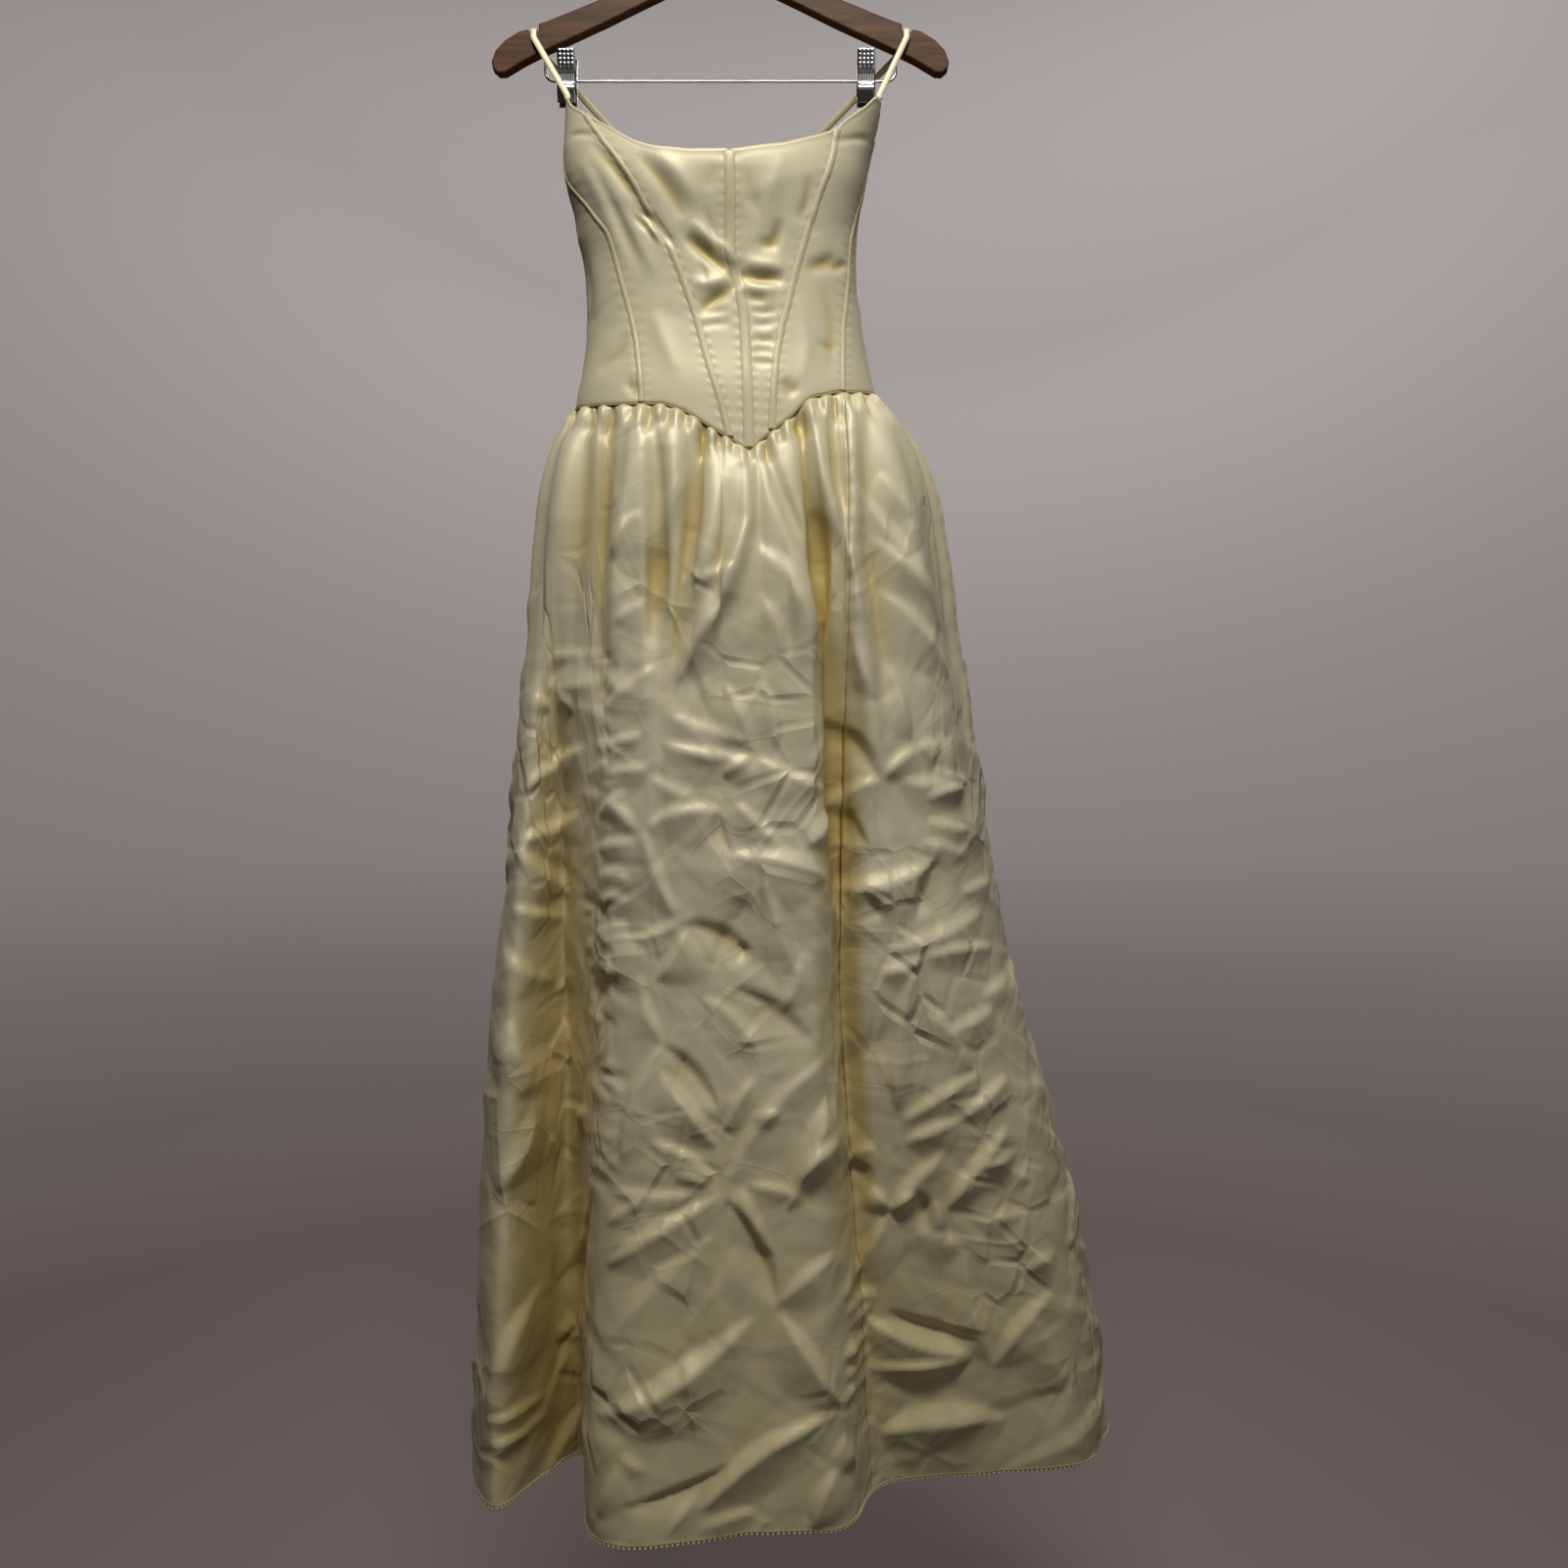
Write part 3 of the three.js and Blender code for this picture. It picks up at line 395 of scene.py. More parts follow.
def grid_object(name, columns, rows, place, material, wall=0.0, round_seam=False):
    """A piece made from a grid of columns by rows, whose vertices place(u, v) puts where they belong.

    place takes arrays from 0 to 1 and gives points in metres, and may add the cloth's own UV in metres, and how
    much painted shade the cloth gets from 0 to 1.
    A round_seam joins the first column to the last.
    """
    bm = bmesh.new()
    bmesh.ops.create_grid(bm, x_segments=columns, y_segments=rows, size=0.5)
    mesh = bpy.data.meshes.new(name)
    bm.to_mesh(mesh)
    bm.free()
    flat = np.zeros(len(mesh.vertices) * 3, np.float32)
    mesh.vertices.foreach_get("co", flat)
    flat = flat.reshape(-1, 3)
    placed = place(flat[:, 0].astype(float) + 0.5, flat[:, 1].astype(float) + 0.5)
    points, cloth, *painted_shade = placed if isinstance(placed, tuple) else (placed, flat[:, :2])
    mesh.vertices.foreach_set("co", points.astype(np.float32).ravel())
    corners = np.zeros(len(mesh.loops), np.int32)
    mesh.loops.foreach_get("vertex_index", corners)
    layer = mesh.uv_layers.new(name="cloth")
    layer.data.foreach_set("uv", cloth[corners].astype(np.float32).ravel())
    # The painted shade is stored on the mesh as a point attribute, which the satin reads to tint troughs darker
    if painted_shade:
        shade = mesh.attributes.new("painted_shade", "FLOAT", "POINT")
        shade.data.foreach_set("value", painted_shade[0].astype(np.float32))
    if round_seam:
        close_tube(mesh)
    return finish_object(name, mesh, material, wall)


def close_tube(mesh):
    """Joins a tube's long seam and closes its two ends."""
    bm = bmesh.new()
    bm.from_mesh(mesh)
    bmesh.ops.remove_doubles(bm, verts=bm.verts, dist=1e-6)
    open_edges = [edge for edge in bm.edges if edge.is_boundary]
    if open_edges:
        bmesh.ops.holes_fill(bm, edges=open_edges, sides=0)
    bmesh.ops.recalc_face_normals(bm, faces=bm.faces)
    bm.to_mesh(mesh)
    bm.free()


def finish_object(name, mesh, material, wall=0.0, smooth=True):
    """Links a mesh as a piece, with its material, smooth faces and a wall inwards."""
    mesh.update()
    mesh.shade_smooth() if smooth else mesh.shade_flat()
    piece = bpy.data.objects.new(name, mesh)
    bpy.context.scene.collection.objects.link(piece)
    mesh.materials.append(material)
    if wall:
        shell = piece.modifiers.new("wall", "SOLIDIFY")
        shell.thickness = wall
        shell.offset = -1
        shell.use_even_offset = False
        shell.use_rim = True
    return piece


def dress_piece(piece, slot, *nodes, body="dress"):
    """Hands a finished piece to the frame."""
    if nodes:
        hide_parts(*nodes)
    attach(piece, body)
    return piece


def tube_object(name, path, radius, sides, material, flatten=(1.0, 1.0), wide=None, wall=0.0):
    """A closed tube along a path of points in metres. flatten scales its width, which lies along wide."""
    path = np.asarray(path, float)
    tangent = np.gradient(path, axis=0)
    tangent /= np.linalg.norm(tangent, axis=1, keepdims=True)
    across = carried_across(tangent, wide)
    other = np.cross(tangent, across)
    last = len(path) - 1

    def place(u, v):
        k = np.rint(v * last).astype(int)
        turn = 2 * math.pi * u
        side = across[k] * (np.cos(turn) * radius * flatten[0])[:, None]
        side += other[k] * (np.sin(turn) * radius * flatten[1])[:, None]
        return path[k] + side

    return grid_object(name, sides, last, place, material, wall, round_seam=True)


def carried_across(tangent, wide):
    """A direction square to each tangent: along wide, or carried along the path with no twist."""
    across = np.zeros_like(tangent)
    start = np.array(wide if wide is not None else (1.0, 0.0, 0.0))
    if wide is None and abs(tangent[0] @ start) > 0.9:
        start = np.array((0.0, 1.0, 0.0))
    for k, direction in enumerate(tangent):
        held = start if wide is not None or k == 0 else across[k - 1]
        held = held - direction * (held @ direction)
        across[k] = held / np.linalg.norm(held)
    return across


def smooth_path(points, steps):
    """A smooth line through points, with steps to each stretch."""
    points = np.asarray(points, float)
    padded = np.vstack([2 * points[0] - points[1], points, 2 * points[-1] - points[-2]])
    line = []
    for k in range(1, len(padded) - 2):
        p0, p1, p2, p3 = padded[k - 1 : k + 3]
        for t in np.linspace(0, 1, steps, endpoint=False):
            line.append(0.5 * ((2 * p1) + (p2 - p0) * t + (2 * p0 - 5 * p1 + 4 * p2 - p3) * t**2
                               + (3 * p1 - p0 - 3 * p2 + p3) * t**3))
    line.append(points[-1])
    return np.array(line)


# Skirt


def closed_curve(points, s):
    """Places on a closed centripetal curve through points, at s points along it."""
    count = len(points)
    k = np.floor(s).astype(int) % count
    t = (s - np.floor(s))[:, None]
    p0, p1, p2, p3 = (points[(k + shift) % count] for shift in (-1, 0, 1, 2))
    d0, d1, d2 = (np.sqrt(np.linalg.norm(b - a, axis=1))[:, None] for a, b in ((p0, p1), (p1, p2), (p2, p3)))
    t1 = ((p1 - p0) / d0 - (p2 - p0) / (d0 + d1) + (p2 - p1) / d1) * d1
    t2 = ((p2 - p1) / d1 - (p3 - p1) / (d1 + d2) + (p3 - p2) / d2) * d1
    return (2 * t**3 - 3 * t**2 + 1) * p1 + (t**3 - 2 * t**2 + t) * t1 + (3 * t**2 - 2 * t**3) * p2 \
        + (t**3 - t**2) * t2


FOLD_WAIST = column_of(FOLDS, FOLD_COLUMNS, "waist")
FOLD_HIP = column_of(FOLDS, FOLD_COLUMNS, "hip")
FOLD_BELLY = column_of(FOLDS, FOLD_COLUMNS, "belly")
MID_POINTS = np.stack([column_of(FOLDS, FOLD_COLUMNS, key) for key in ("mid_x", "mid_y")], -1)
HEM_POINTS = np.stack([column_of(FOLDS, FOLD_COLUMNS, key) for key in ("hem_x", "hem_y")], -1)


def fold_place(angle):
    """Where a waist angle lies among the folds, counted in folds."""
    xs = np.append(FOLD_WAIST, 180)
    return np.interp(angle, xs, np.arange(len(xs)))


def lengths_round(angles):
    """Millimetres round the waist and round the hem up to each angle, and their totals."""
    fine = np.linspace(-180, 180, 2881)
    z = waist_z(fine)
    x, y = bodice_plan(fine, z)
    waist = np.append(0, np.cumsum(np.sqrt(np.diff(x) ** 2 + np.diff(y) ** 2 + np.diff(z) ** 2)))
    hem = closed_curve(HEM_POINTS, fold_place(fine))
    hem_run = np.append(0, np.cumsum(np.linalg.norm(np.diff(hem, axis=0), axis=1)))
    return np.interp(angles, fine, waist), np.interp(angles, fine, hem_run), waist[-1], hem_run[-1]


def gore_angles(start, end, columns):
    """Waist angles of a gore's columns, spread over its waist and hem."""
    fine = np.linspace(start, end, 1200)
    waist, hem, _, _ = lengths_round(fine)
    spread = waist + 0.5 * hem
    return np.interp(np.linspace(spread[0], spread[-1], columns + 1), spread, fine)


def row_rises():
    """Shares of the way from the hem to the waist for each row."""
    return np.linspace(0, 1, SKIRT_ROWS + 1)


# Upright folds that fall from the gathers in front
FRONT_FOLDS = (
    (-6.5, 11, ((-96, -566), (-100, -600), (-105, -682), (-106, -830))),
    (5.5, 12, ((-69, -575), (-90, -688), (-102, -800))),
    (-6, 9, ((-45, -600), (-52, -700), (-58, -780))),
    (5, 9, ((-40, -575), (-41, -640), (-52, -700))),
    (-5.5, 7, ((-12, -572), (-19, -661), (-42, -835))),
    (5.5, 12, ((8, -610), (-2, -680), (-28, -760))),
    (5, 7, ((28, -607), (28, -668), (11, -733), (-40, -813))),
    (-4.5, 6, ((46, -600), (58, -640), (93, -723))),
    (4, 12, ((52, -610), (70, -700), (84, -800))),
    (-10, 7, ((77, -572), (84, -640), (94, -690), (106, -790), (111, -910), (113, -1020))),
    (5, 8, ((83, -560), (96, -620), (112, -670), (132, -760))),
    (-4.5, 8, ((106, -556), (112, -640), (118, -700))),
    (5.5, 9, ((124, -556), (126, -700), (148, -900))),
    (-5, 10, ((134, -560), (138, -690), (160, -830))),
    (5, 14, ((152, -560), (176, -650), (206, -800))),
    (-4, 12, ((170, -570), (200, -680), (222, -800))),
    (6, 12, ((-140, -575), (-152, -700), (-160, -800))),
    (-4.5, 10, ((-122, -566), (-132, -690), (-140, -780))),
)

# Small tight gathers hang from the waist seam in front: places along it, and their depth, width and length
GATHER_PLACES = (
    (-146, 2.5, 3, 16), (-136, -3, 3, 22), (-125, 3, 4, 18), (-114, -3.5, 3, 26), (-105, 3, 3, 16), (-97, -4, 4, 34),
    (-86, 3, 4, 22), (-78, -3.5, 3, 18), (-69, 3, 4, 26), (-60, -4, 3, 30), (-51, 3, 4, 18), (-44, -3.5, 3, 24),
    (-35, 3, 4, 20), (-28, -3, 3, 16), (-19, 3.5, 4, 22), (-11, -4, 3, 34), (-4, 3, 3, 14), (3, -3.5, 3, 18),
    (10, 3, 3, 14), (16, -3, 2.5, 14), (23, 3.5, 4, 22), (30, -3, 3, 14), (37, 3, 3, 18), (44, -3.5, 3, 24),
    (51, 3, 3, 14), (57, -3, 2.5, 16), (64, 3, 3, 18), (70, -3.5, 3, 20), (77, -4, 3.5, 36), (84, 3.5, 4, 24),
    (93, -3, 3, 18), (101, 3, 4, 22), (108, -4, 3.5, 30), (117, 3, 4, 20), (124, -3, 3, 18), (132, 3, 4, 24),
    (139, -3.5, 3, 24), (147, 2.5, 3, 16),
)


def seam_gathers():
    """The small tight gathers as folds that start at the waist seam."""
    fine = np.linspace(-88, 88, 353)
    x, _ = bodice_plan(fine, waist_z(fine))
    rows = []
    for place, depth, width, length in GATHER_PLACES:
        z = float(np.interp(place, x, waist_z(fine)))
        lean = 0.06 * (place - 6) * length / 22
        height = 1.5 * depth if depth < 0 else depth
        run = ((place, z + 6), (place + lean * 0.3, z - length * 0.5), (place + lean, z - length))
        rows.append((height, 1.15 * width, run))
    return rows


def skirt_form(angles, rises):
    """The skirt's plain form and the cloth's own place, for a grid of rows by columns, in millimetres."""
    angle, rise = np.meshgrid(angles, rises)
    shape = angle.shape
    angle, rise = angle.ravel(), rise.ravel()
    top = waist_z(angle) - WAIST_GAP / 2
    top_x, top_y = bodice_plan(angle, waist_z(angle))
    waist_run, hem_run, waist_total, _ = lengths_round(angle)
    around = waist_run / waist_total

    s = fold_place(angle)
    hip_angle = np.interp(s, np.arange(len(FOLDS) + 1), np.append(FOLD_HIP, 180))
    belly = np.interp(s, np.arange(len(FOLDS) + 1), np.append(FOLD_BELLY, FOLD_BELLY[0]))
    hip = np.stack(ring_plan(hip_angle, **HIP_RING), -1)
    mid, hem = closed_curve(MID_POINTS, s), closed_curve(HEM_POINTS, s)

    z = HEM_Z + (top - HEM_Z) * rise
    drop = top - z
    puff = (1 - np.exp(-drop / PUFF_RUN))[:, None]
    to_mid = np.clip((HIP_Z - z) / (HIP_Z - MID_Z), 0, 1)
    to_mid = (to_mid + 0.06 * np.exp(-(((z - HIP_Z) / 60) ** 2)))[:, None]
    to_hem = np.clip((MID_Z - z) / (MID_Z - HEM_Z), 0, 1)[:, None]
    plan = np.stack([top_x, top_y], -1)
    plan = plan + (hip - plan) * puff
    plan = plan + (mid - plan) * to_mid
    plan = plan + (hem - plan) * to_hem

    out = np.stack([hip[:, 0] - HIP_RING["centre"], hip[:, 1] * HIP_RING["half"] / HIP_RING["front"]], -1)
    out /= np.linalg.norm(out, axis=1, keepdims=True)
    plan += out * (gather_height(around, drop, angle) + belly * 4 * to_hem[:, 0] * (1 - to_hem[:, 0]))[:, None]
    points = np.stack([plan[:, 0], plan[:, 1], z], -1).reshape(*shape, 3)
    return points, hem_run.reshape(shape), z.reshape(shape), drop.reshape(shape)


def gather_height(around, drop, angle):
    """Gathers at the waist seam, which run together into the upright folds below it."""
    sizes = bpy.context.scene.dress_sizes
    turn = 2 * math.pi * around
    uneven = 1 + 0.35 * np.sin(5 * turn + 1) + 0.2 * np.sin(11 * turn)
    drift = 0.35 * np.sin(7 * turn + 2) + 0.25 * np.sin(13 * turn)
    front = np.clip((np.cos(np.radians(angle)) - 0.1) / 0.3, 0, 1)
    begun = 0.3 + 0.7 * smooth_step(drop, 0, 7)
    fine = 1.3 * np.cos(97 * turn + 2.5 * np.sin(9 * turn)) * np.exp(-drop / 22) * begun
    main = 2.4 * np.cos(44 * turn + drift) * np.exp(-drop / 60) * (0.6 + 0.4 * np.sin(17 * turn)) * begun
    swell = (drop / 100) * np.exp(1 - drop / 100)
    pleats = 7 * swell * uneven * np.cos(23 * turn + 2 + drift)
    return sizes.gather_scale * ((fine + main) * (1 - 0.6 * front) + pleats * (1 - 0.8 * front))


def grid_normals(points):
    """Outward directions over a grid of rows by columns."""
    across = np.gradient(points, axis=1)
    up = np.gradient(points, axis=0)
    out = np.cross(across, up)
    return out / np.maximum(np.linalg.norm(out, axis=-1, keepdims=True), 1e-9)


def star_creases(seed, width, z_range, spacing):
    """A net of creases between scattered points, some of which are stars of short sharp creases."""
    draw = np.random.default_rng(seed)
    columns = int(width / spacing)
    rows = int((z_range[1] - z_range[0]) / spacing)
    step = width / columns
    nodes = {}
    for i in range(columns):
        for j in range(rows + 1):
            x = (i + 0.5 * (j % 2) + draw.uniform(-0.38, 0.38)) * step
            z = z_range[0] + (j + draw.uniform(-0.38, 0.38)) * spacing
            nodes[i, j] = (x, z)
    creases = []
    for (i, j), (x, z) in nodes.items():
        for di, dj in ((1, 0), (0, 1), (1, 1), (-1, 1)):
            other = nodes.get(((i + di) % columns, j + dj))
            if other is None or draw.random() < 0.42:
                continue
            x1, z1 = other
            if x1 - x > width / 2:
                x1 -= width
            if x - x1 > width / 2:
                x1 += width
            wide = draw.uniform(4, 15)
            height = wide * draw.uniform(0.3, 0.55) * draw.choice((-1, 1, 1))
            creases.append((x, z, x1, z1, height, wide))
        for _ in range(draw.integers(1, 5)):
            lean, length, wide = draw.uniform(0, 2 * math.pi), draw.uniform(16, 48), draw.uniform(2, 5)
            height = wide * draw.uniform(0.3, 0.5) * draw.choice((-1, 1))
            creases.append((x, z, x + length * math.cos(lean), z + length * math.sin(lean), height, wide))
    return creases


# The skirt's main creases in front, most of which meet at a few sharp points
SKIRT_CREASES = (
    # Round the star low on the front panel, and the long lenses that leave it
    (2, -1278, -99, -1341, 5, 10), (11, -1266, 100, -1157, 3, 10), (10, -1281, 55, -1375, -4.5, 9),
    (24, -1270, 52, -1330, 3.5, 8), (58, -1384, 113, -1473, 5.5, 11), (55, -1375, 111, -1332, 3, 9),
    (-111, -1473, 36, -1386, 5.5, 15), (-13, -1556, 109, -1476, 6, 11), (-43, -1576, -15, -1540, 2, 5),
    (-81, -1546, 12, -1518, -3, 6), (-84, -1501, -60, -1516, 1.6, 4), (-95, -1405, 2, -1311, 2, 12),
    (-98, -1305, -62, -1281, 2.5, 5), (-99, -1272, 2, -1270, 2, 5), (-58, -1228, 2, -1266, 3.5, 6),
    (-37, -1256, -2, -1270, 2.5, 4), (6, -1223, 34, -1172, 3, 5), (-49, -1166, 2, -1234, 4.5, 9),
    (-47, -1142, 2, -1198, -4, 9), (-84, -1247, -47, -1142, 3.5, 9), (74, -1266, 100, -1194, 5, 12),
    (70, -1272, 107, -1228, 4, 8), (32, -1206, 58, -1202, 2.5, 4), (-15, -1572, 40, -1560, 2, 6),
    (88, -1580, 110, -1527, 4, 10), (-105, -1560, -84, -1510, 2.5, 7), (30, -1268, 72, -1276, 2.5, 5),
    (64, -1290, 78, -1262, 2.5, 4),
    # The left gore, past the front seam
    (152, -1526, 280, -1527, 7, 20), (137, -1412, 245, -1459, 6, 12), (137, -1461, 242, -1462, 3.5, 6),
    (233, -1348, 265, -1471, 3.5, 9), (265, -1471, 327, -1401, 4.5, 11), (216, -1311, 276, -1236, 5, 10),
    (175, -1243, 228, -1224, 4, 9), (228, -1224, 276, -1187, 4, 8), (173, -1224, 250, -1179, 4, 9),
    (167, -1213, 181, -1085, 4.5, 10), (115, -1379, 160, -1311, 3.5, 10), (160, -1311, 213, -1256, 3.5, 9),
    (241, -1320, 294, -1320, 1.8, 6), (269, -1270, 301, -1290, 1.8, 6), (160, -1408, 250, -1443, -3.5, 9),
    (143, -1285, 163, -1307, 3, 6), (163, -1307, 186, -1290, 3, 6), (186, -1290, 200, -1330, -3, 7),
    (120, -1262, 147, -1246, 2.5, 8), (112, -1281, 146, -1268, -2, 10), (206, -1300, 214, -1342, 3, 6),
    (290, -1380, 330, -1366, 3, 8), (300, -1420, 345, -1520, 3.5, 12), (118, -1393, 150, -1391, 3, 8),
    (118, -1430, 140, -1426, 2.5, 5), (116, -1448, 136, -1446, 2.5, 4), (121, -1408, 146, -1402, 2.5, 4),
    (116, -1500, 128, -1535, 3, 6), (124, -1420, 131, -1440, 2.5, 4), (119, -1463, 140, -1470, 2.5, 4),
    (186, -1330, 240, -1345, 2.5, 8), (250, -1270, 285, -1262, 3, 6),
    # Past the valley at the viewer's left
    (-195, -1127, -178, -1202, 4, 10), (-206, -1288, -175, -1206, 4, 10), (-216, -1499, -175, -1390, 4.5, 11),
    (-163, -1457, -111, -1416, 5, 14), (-161, -1480, -118, -1495, 3.5, 7), (-218, -1501, -171, -1503, 2.5, 5),
    (-216, -1520, -171, -1520, 2.5, 5), (-163, -1333, -133, -1300, 3, 4), (-161, -1110, -143, -1085, 3, 4),
    (-190, -964, -144, -1015, 5, 11), (-195, -1022, -153, -1037, 3.5, 7), (-184, -913, -121, -873, 4.5, 9),
    (-190, -961, -128, -934, 4.5, 10), (-163, -814, -107, -814, 6.5, 22), (-160, -784, -105, -785, 2, 6),
    (-174, -821, -161, -839, 3, 5), (-147, -813, -130, -839, 2.5, 5), (-205, -1060, -160, -1100, 3, 9),
    (-150, -1380, -120, -1330, 3, 8), (-140, -1240, -120, -1215, 3, 7),
    # Across the middle of the front panel
    (-50, -869, 34, -883, 4, 9), (34, -883, 101, -913, 4, 9), (6, -899, 34, -883, 4, 7),
    (-63, -945, 6, -931, 4.5, 10), (20, -924, 59, -963, 4, 8), (2, -931, 13, -970, -3, 6),
    (83, -963, 106, -931, 4.5, 10), (12, -972, 102, -992, 6, 15), (43, -991, 76, -1082, 5, 11),
    (-65, -948, -36, -1026, 3.5, 8), (-33, -1033, 34, -1061, -4, 10), (-75, -1047, -35, -1033, 3.5, 7),
    (-54, -1085, -26, -1040, 4.5, 10), (6, -814, 34, -881, 3, 8), (41, -814, 55, -878, 3, 7),
    (-40, -846, 30, -868, 2.5, 10), (29, -668, -36, -815, 5, 15),
    (-22, -712, -13, -726, 2.5, 5), (-13, -726, 20, -712, 3.5, 8), (29, -687, 98, -779, 4, 14),
    (40, -735, 66, -800, 3, 8), (60, -1110, 80, -1060, 3, 8), (18, -1055, 32, -1057, -2.5, 4),
    (-46, -1142, -70, -1080, 3, 8), (20, -1090, 88, -1140, -3.5, 10), (-10, -1100, 40, -1150, 2.5, 10),
    (-60, -900, -20, -920, 3, 9),
    # The left gore's upper half
    (108, -850, 149, -903, -4.5, 10), (154, -901, 186, -873, 4.5, 8), (186, -873, 207, -871, 3.5, 7),
    (168, -906, 232, -913, 4, 9), (108, -931, 147, -903, 4.5, 9), (122, -931, 142, -970, -3.5, 7),
    (187, -1030, 207, -977, -4, 9), (113, -1006, 200, -982, 6, 13), (135, -1005, 152, -1033, -3.5, 6),
    (158, -1061, 253, -1026, 4, 11), (150, -1082, 193, -1068, 4, 8), (193, -1068, 263, -1065, 3.5, 7),
    (193, -920, 235, -910, 3.5, 6), (150, -730, 217, -804, 4, 10), (156, -793, 179, -867, 3.5, 8),
    (119, -726, 147, -829, 3.5, 8), (91, -656, 129, -733, -3.5, 9), (129, -631, 210, -737, 4, 10),
    (140, -680, 215, -760, 3, 9), (150, -620, 180, -660, 2.5, 8), (196, -940, 240, -950, 3.5, 7),
    (190, -960, 236, -975, 3, 6), (200, -893, 238, -903, 3.5, 6), (209, -860, 222, -900, 3, 7),
    (250, -1110, 285, -1090, 3.5, 8), (215, -1140, 262, -1120, 3.5, 9), (195, -1120, 240, -1180, 3, 10),
    (230, -1010, 262, -1000, 3, 7),
    # The narrow fold beside the left valley
    (-105, -839, -54, -800, 4, 9), (-100, -899, -59, -892, 3.5, 6), (-110, -938, -82, -913, 3.5, 6),
    (-100, -870, -66, -862, 3, 6), (-98, -920, -72, -950, 3.5, 7), (-108, -965, -74, -960, 3.5, 8),
    (-110, -990, -78, -994, 3.5, 8), (-112, -1016, -80, -1012, 3.5, 8), (-112, -1044, -82, -1036, 3.5, 8),
    (-114, -1070, -90, -1082, 3.5, 7), (-92, -760, -60, -740, 3, 8), (-97, -700, -66, -660, 3, 9),
)


def skirt_relief(points, hem_run, z, drop, facing, gore_edges):
    """How far the crumpled cloth stands out of the skirt's plain form."""
    sizes = bpy.context.scene.dress_sizes
    _, _, _, hem_total = lengths_round(np.array([0.0]))
    x = points[..., 0]
    front = smooth_step(facing, 0.05, 0.45) * smooth_step(points[..., 1], 40, -20)
    shown = (1.35 + 0.45 * smooth_step(z, -1050, -1250)) * crease_field(x, z, SKIRT_CREASES)
    band = random_creases(SEED + 3, 44, (-120, -90), (-1290, -790), (18, 40), (1.4, 3), (3, 7))
    shown += 0.8 * crease_field(x, z, band)
    upright = 1.7 * fold_field(x, z, FRONT_FOLDS, 2) + fold_field(x, z, seam_gathers(), 1.2)
    net = crease_field(hem_run, z, star_creases(SEED + 1, hem_total, (HEM_Z, -640), 96), hem_total)
    small = crease_field(hem_run, z, star_creases(SEED + 2, hem_total, (HEM_Z, -700), 58), hem_total)
    low = smooth_step(z, -620, -860)
    crumple = (0.15 + 0.85 * low) * (0.85 * net * (1 - 0.7 * front) + 0.3 * small * (1 - 0.5 * front))
    edge = np.minimum(np.abs(hem_run - gore_edges[0]), np.abs(hem_run - gore_edges[1]))
    seam = -0.5 * np.exp(-((edge / 2) ** 2)) + 0.5 * np.exp(-edge / 7) * np.sin(z / 3.1 + 2 * np.sin(z / 37))
    begun = smooth_step(drop, 0, 60)
    relief = (front * shown + crumple) * sizes.crease_scale * begun + seam * smooth_step(drop, 4, 30)
    return relief + front * upright * (0.3 + 0.7 * smooth_step(drop, 0, 7)) * sizes.gather_scale


# How far past its seams a gore looks for its directions, in degrees, so that neighbours stay together
SEAM_REACH = 0.5


def skirt_points(start, end, columns):
    """A gore's dressed surface in metres, with the cloth's own UV, as grids of rows by columns."""
    angles = gore_angles(start, end, columns)
    angles[0] += 0.02
    angles[-1] -= 0.02
    before = start - SEAM_REACH if start > -180 else 180 - SEAM_REACH
    after = end + SEAM_REACH if end < 180 else SEAM_REACH - 180
    grids = skirt_form(np.concatenate([[before], angles, [after]]), row_rises())
    out = grid_normals(grids[0])[:, 1:-1]
    points, hem_run, z, drop = (grid[:, 1:-1] for grid in grids)
    relief = skirt_relief(points, hem_run, z, drop, -out[..., 1], (hem_run[0, 0], hem_run[0, -1]))
    points = points + out * relief[..., None]
    wave = 1.2 + 0.9 * np.sin(hem_run / 23) + 0.5 * np.sin(hem_run / 9.7)
    points[..., 2] += wave * smooth_step(z, HEM_Z + 30, HEM_Z)
    cloth = np.stack([hem_run, z], -1) * MM
    # Painted shade: how much darker and warmer the cloth is painted, in its troughs and towards the hem where the
    # light falls off
    painted_shade = np.maximum(smooth_step(-relief, 1, 10), 0.4 * smooth_step(-z, 1000, 1450))
    return points * MM, cloth, painted_shade


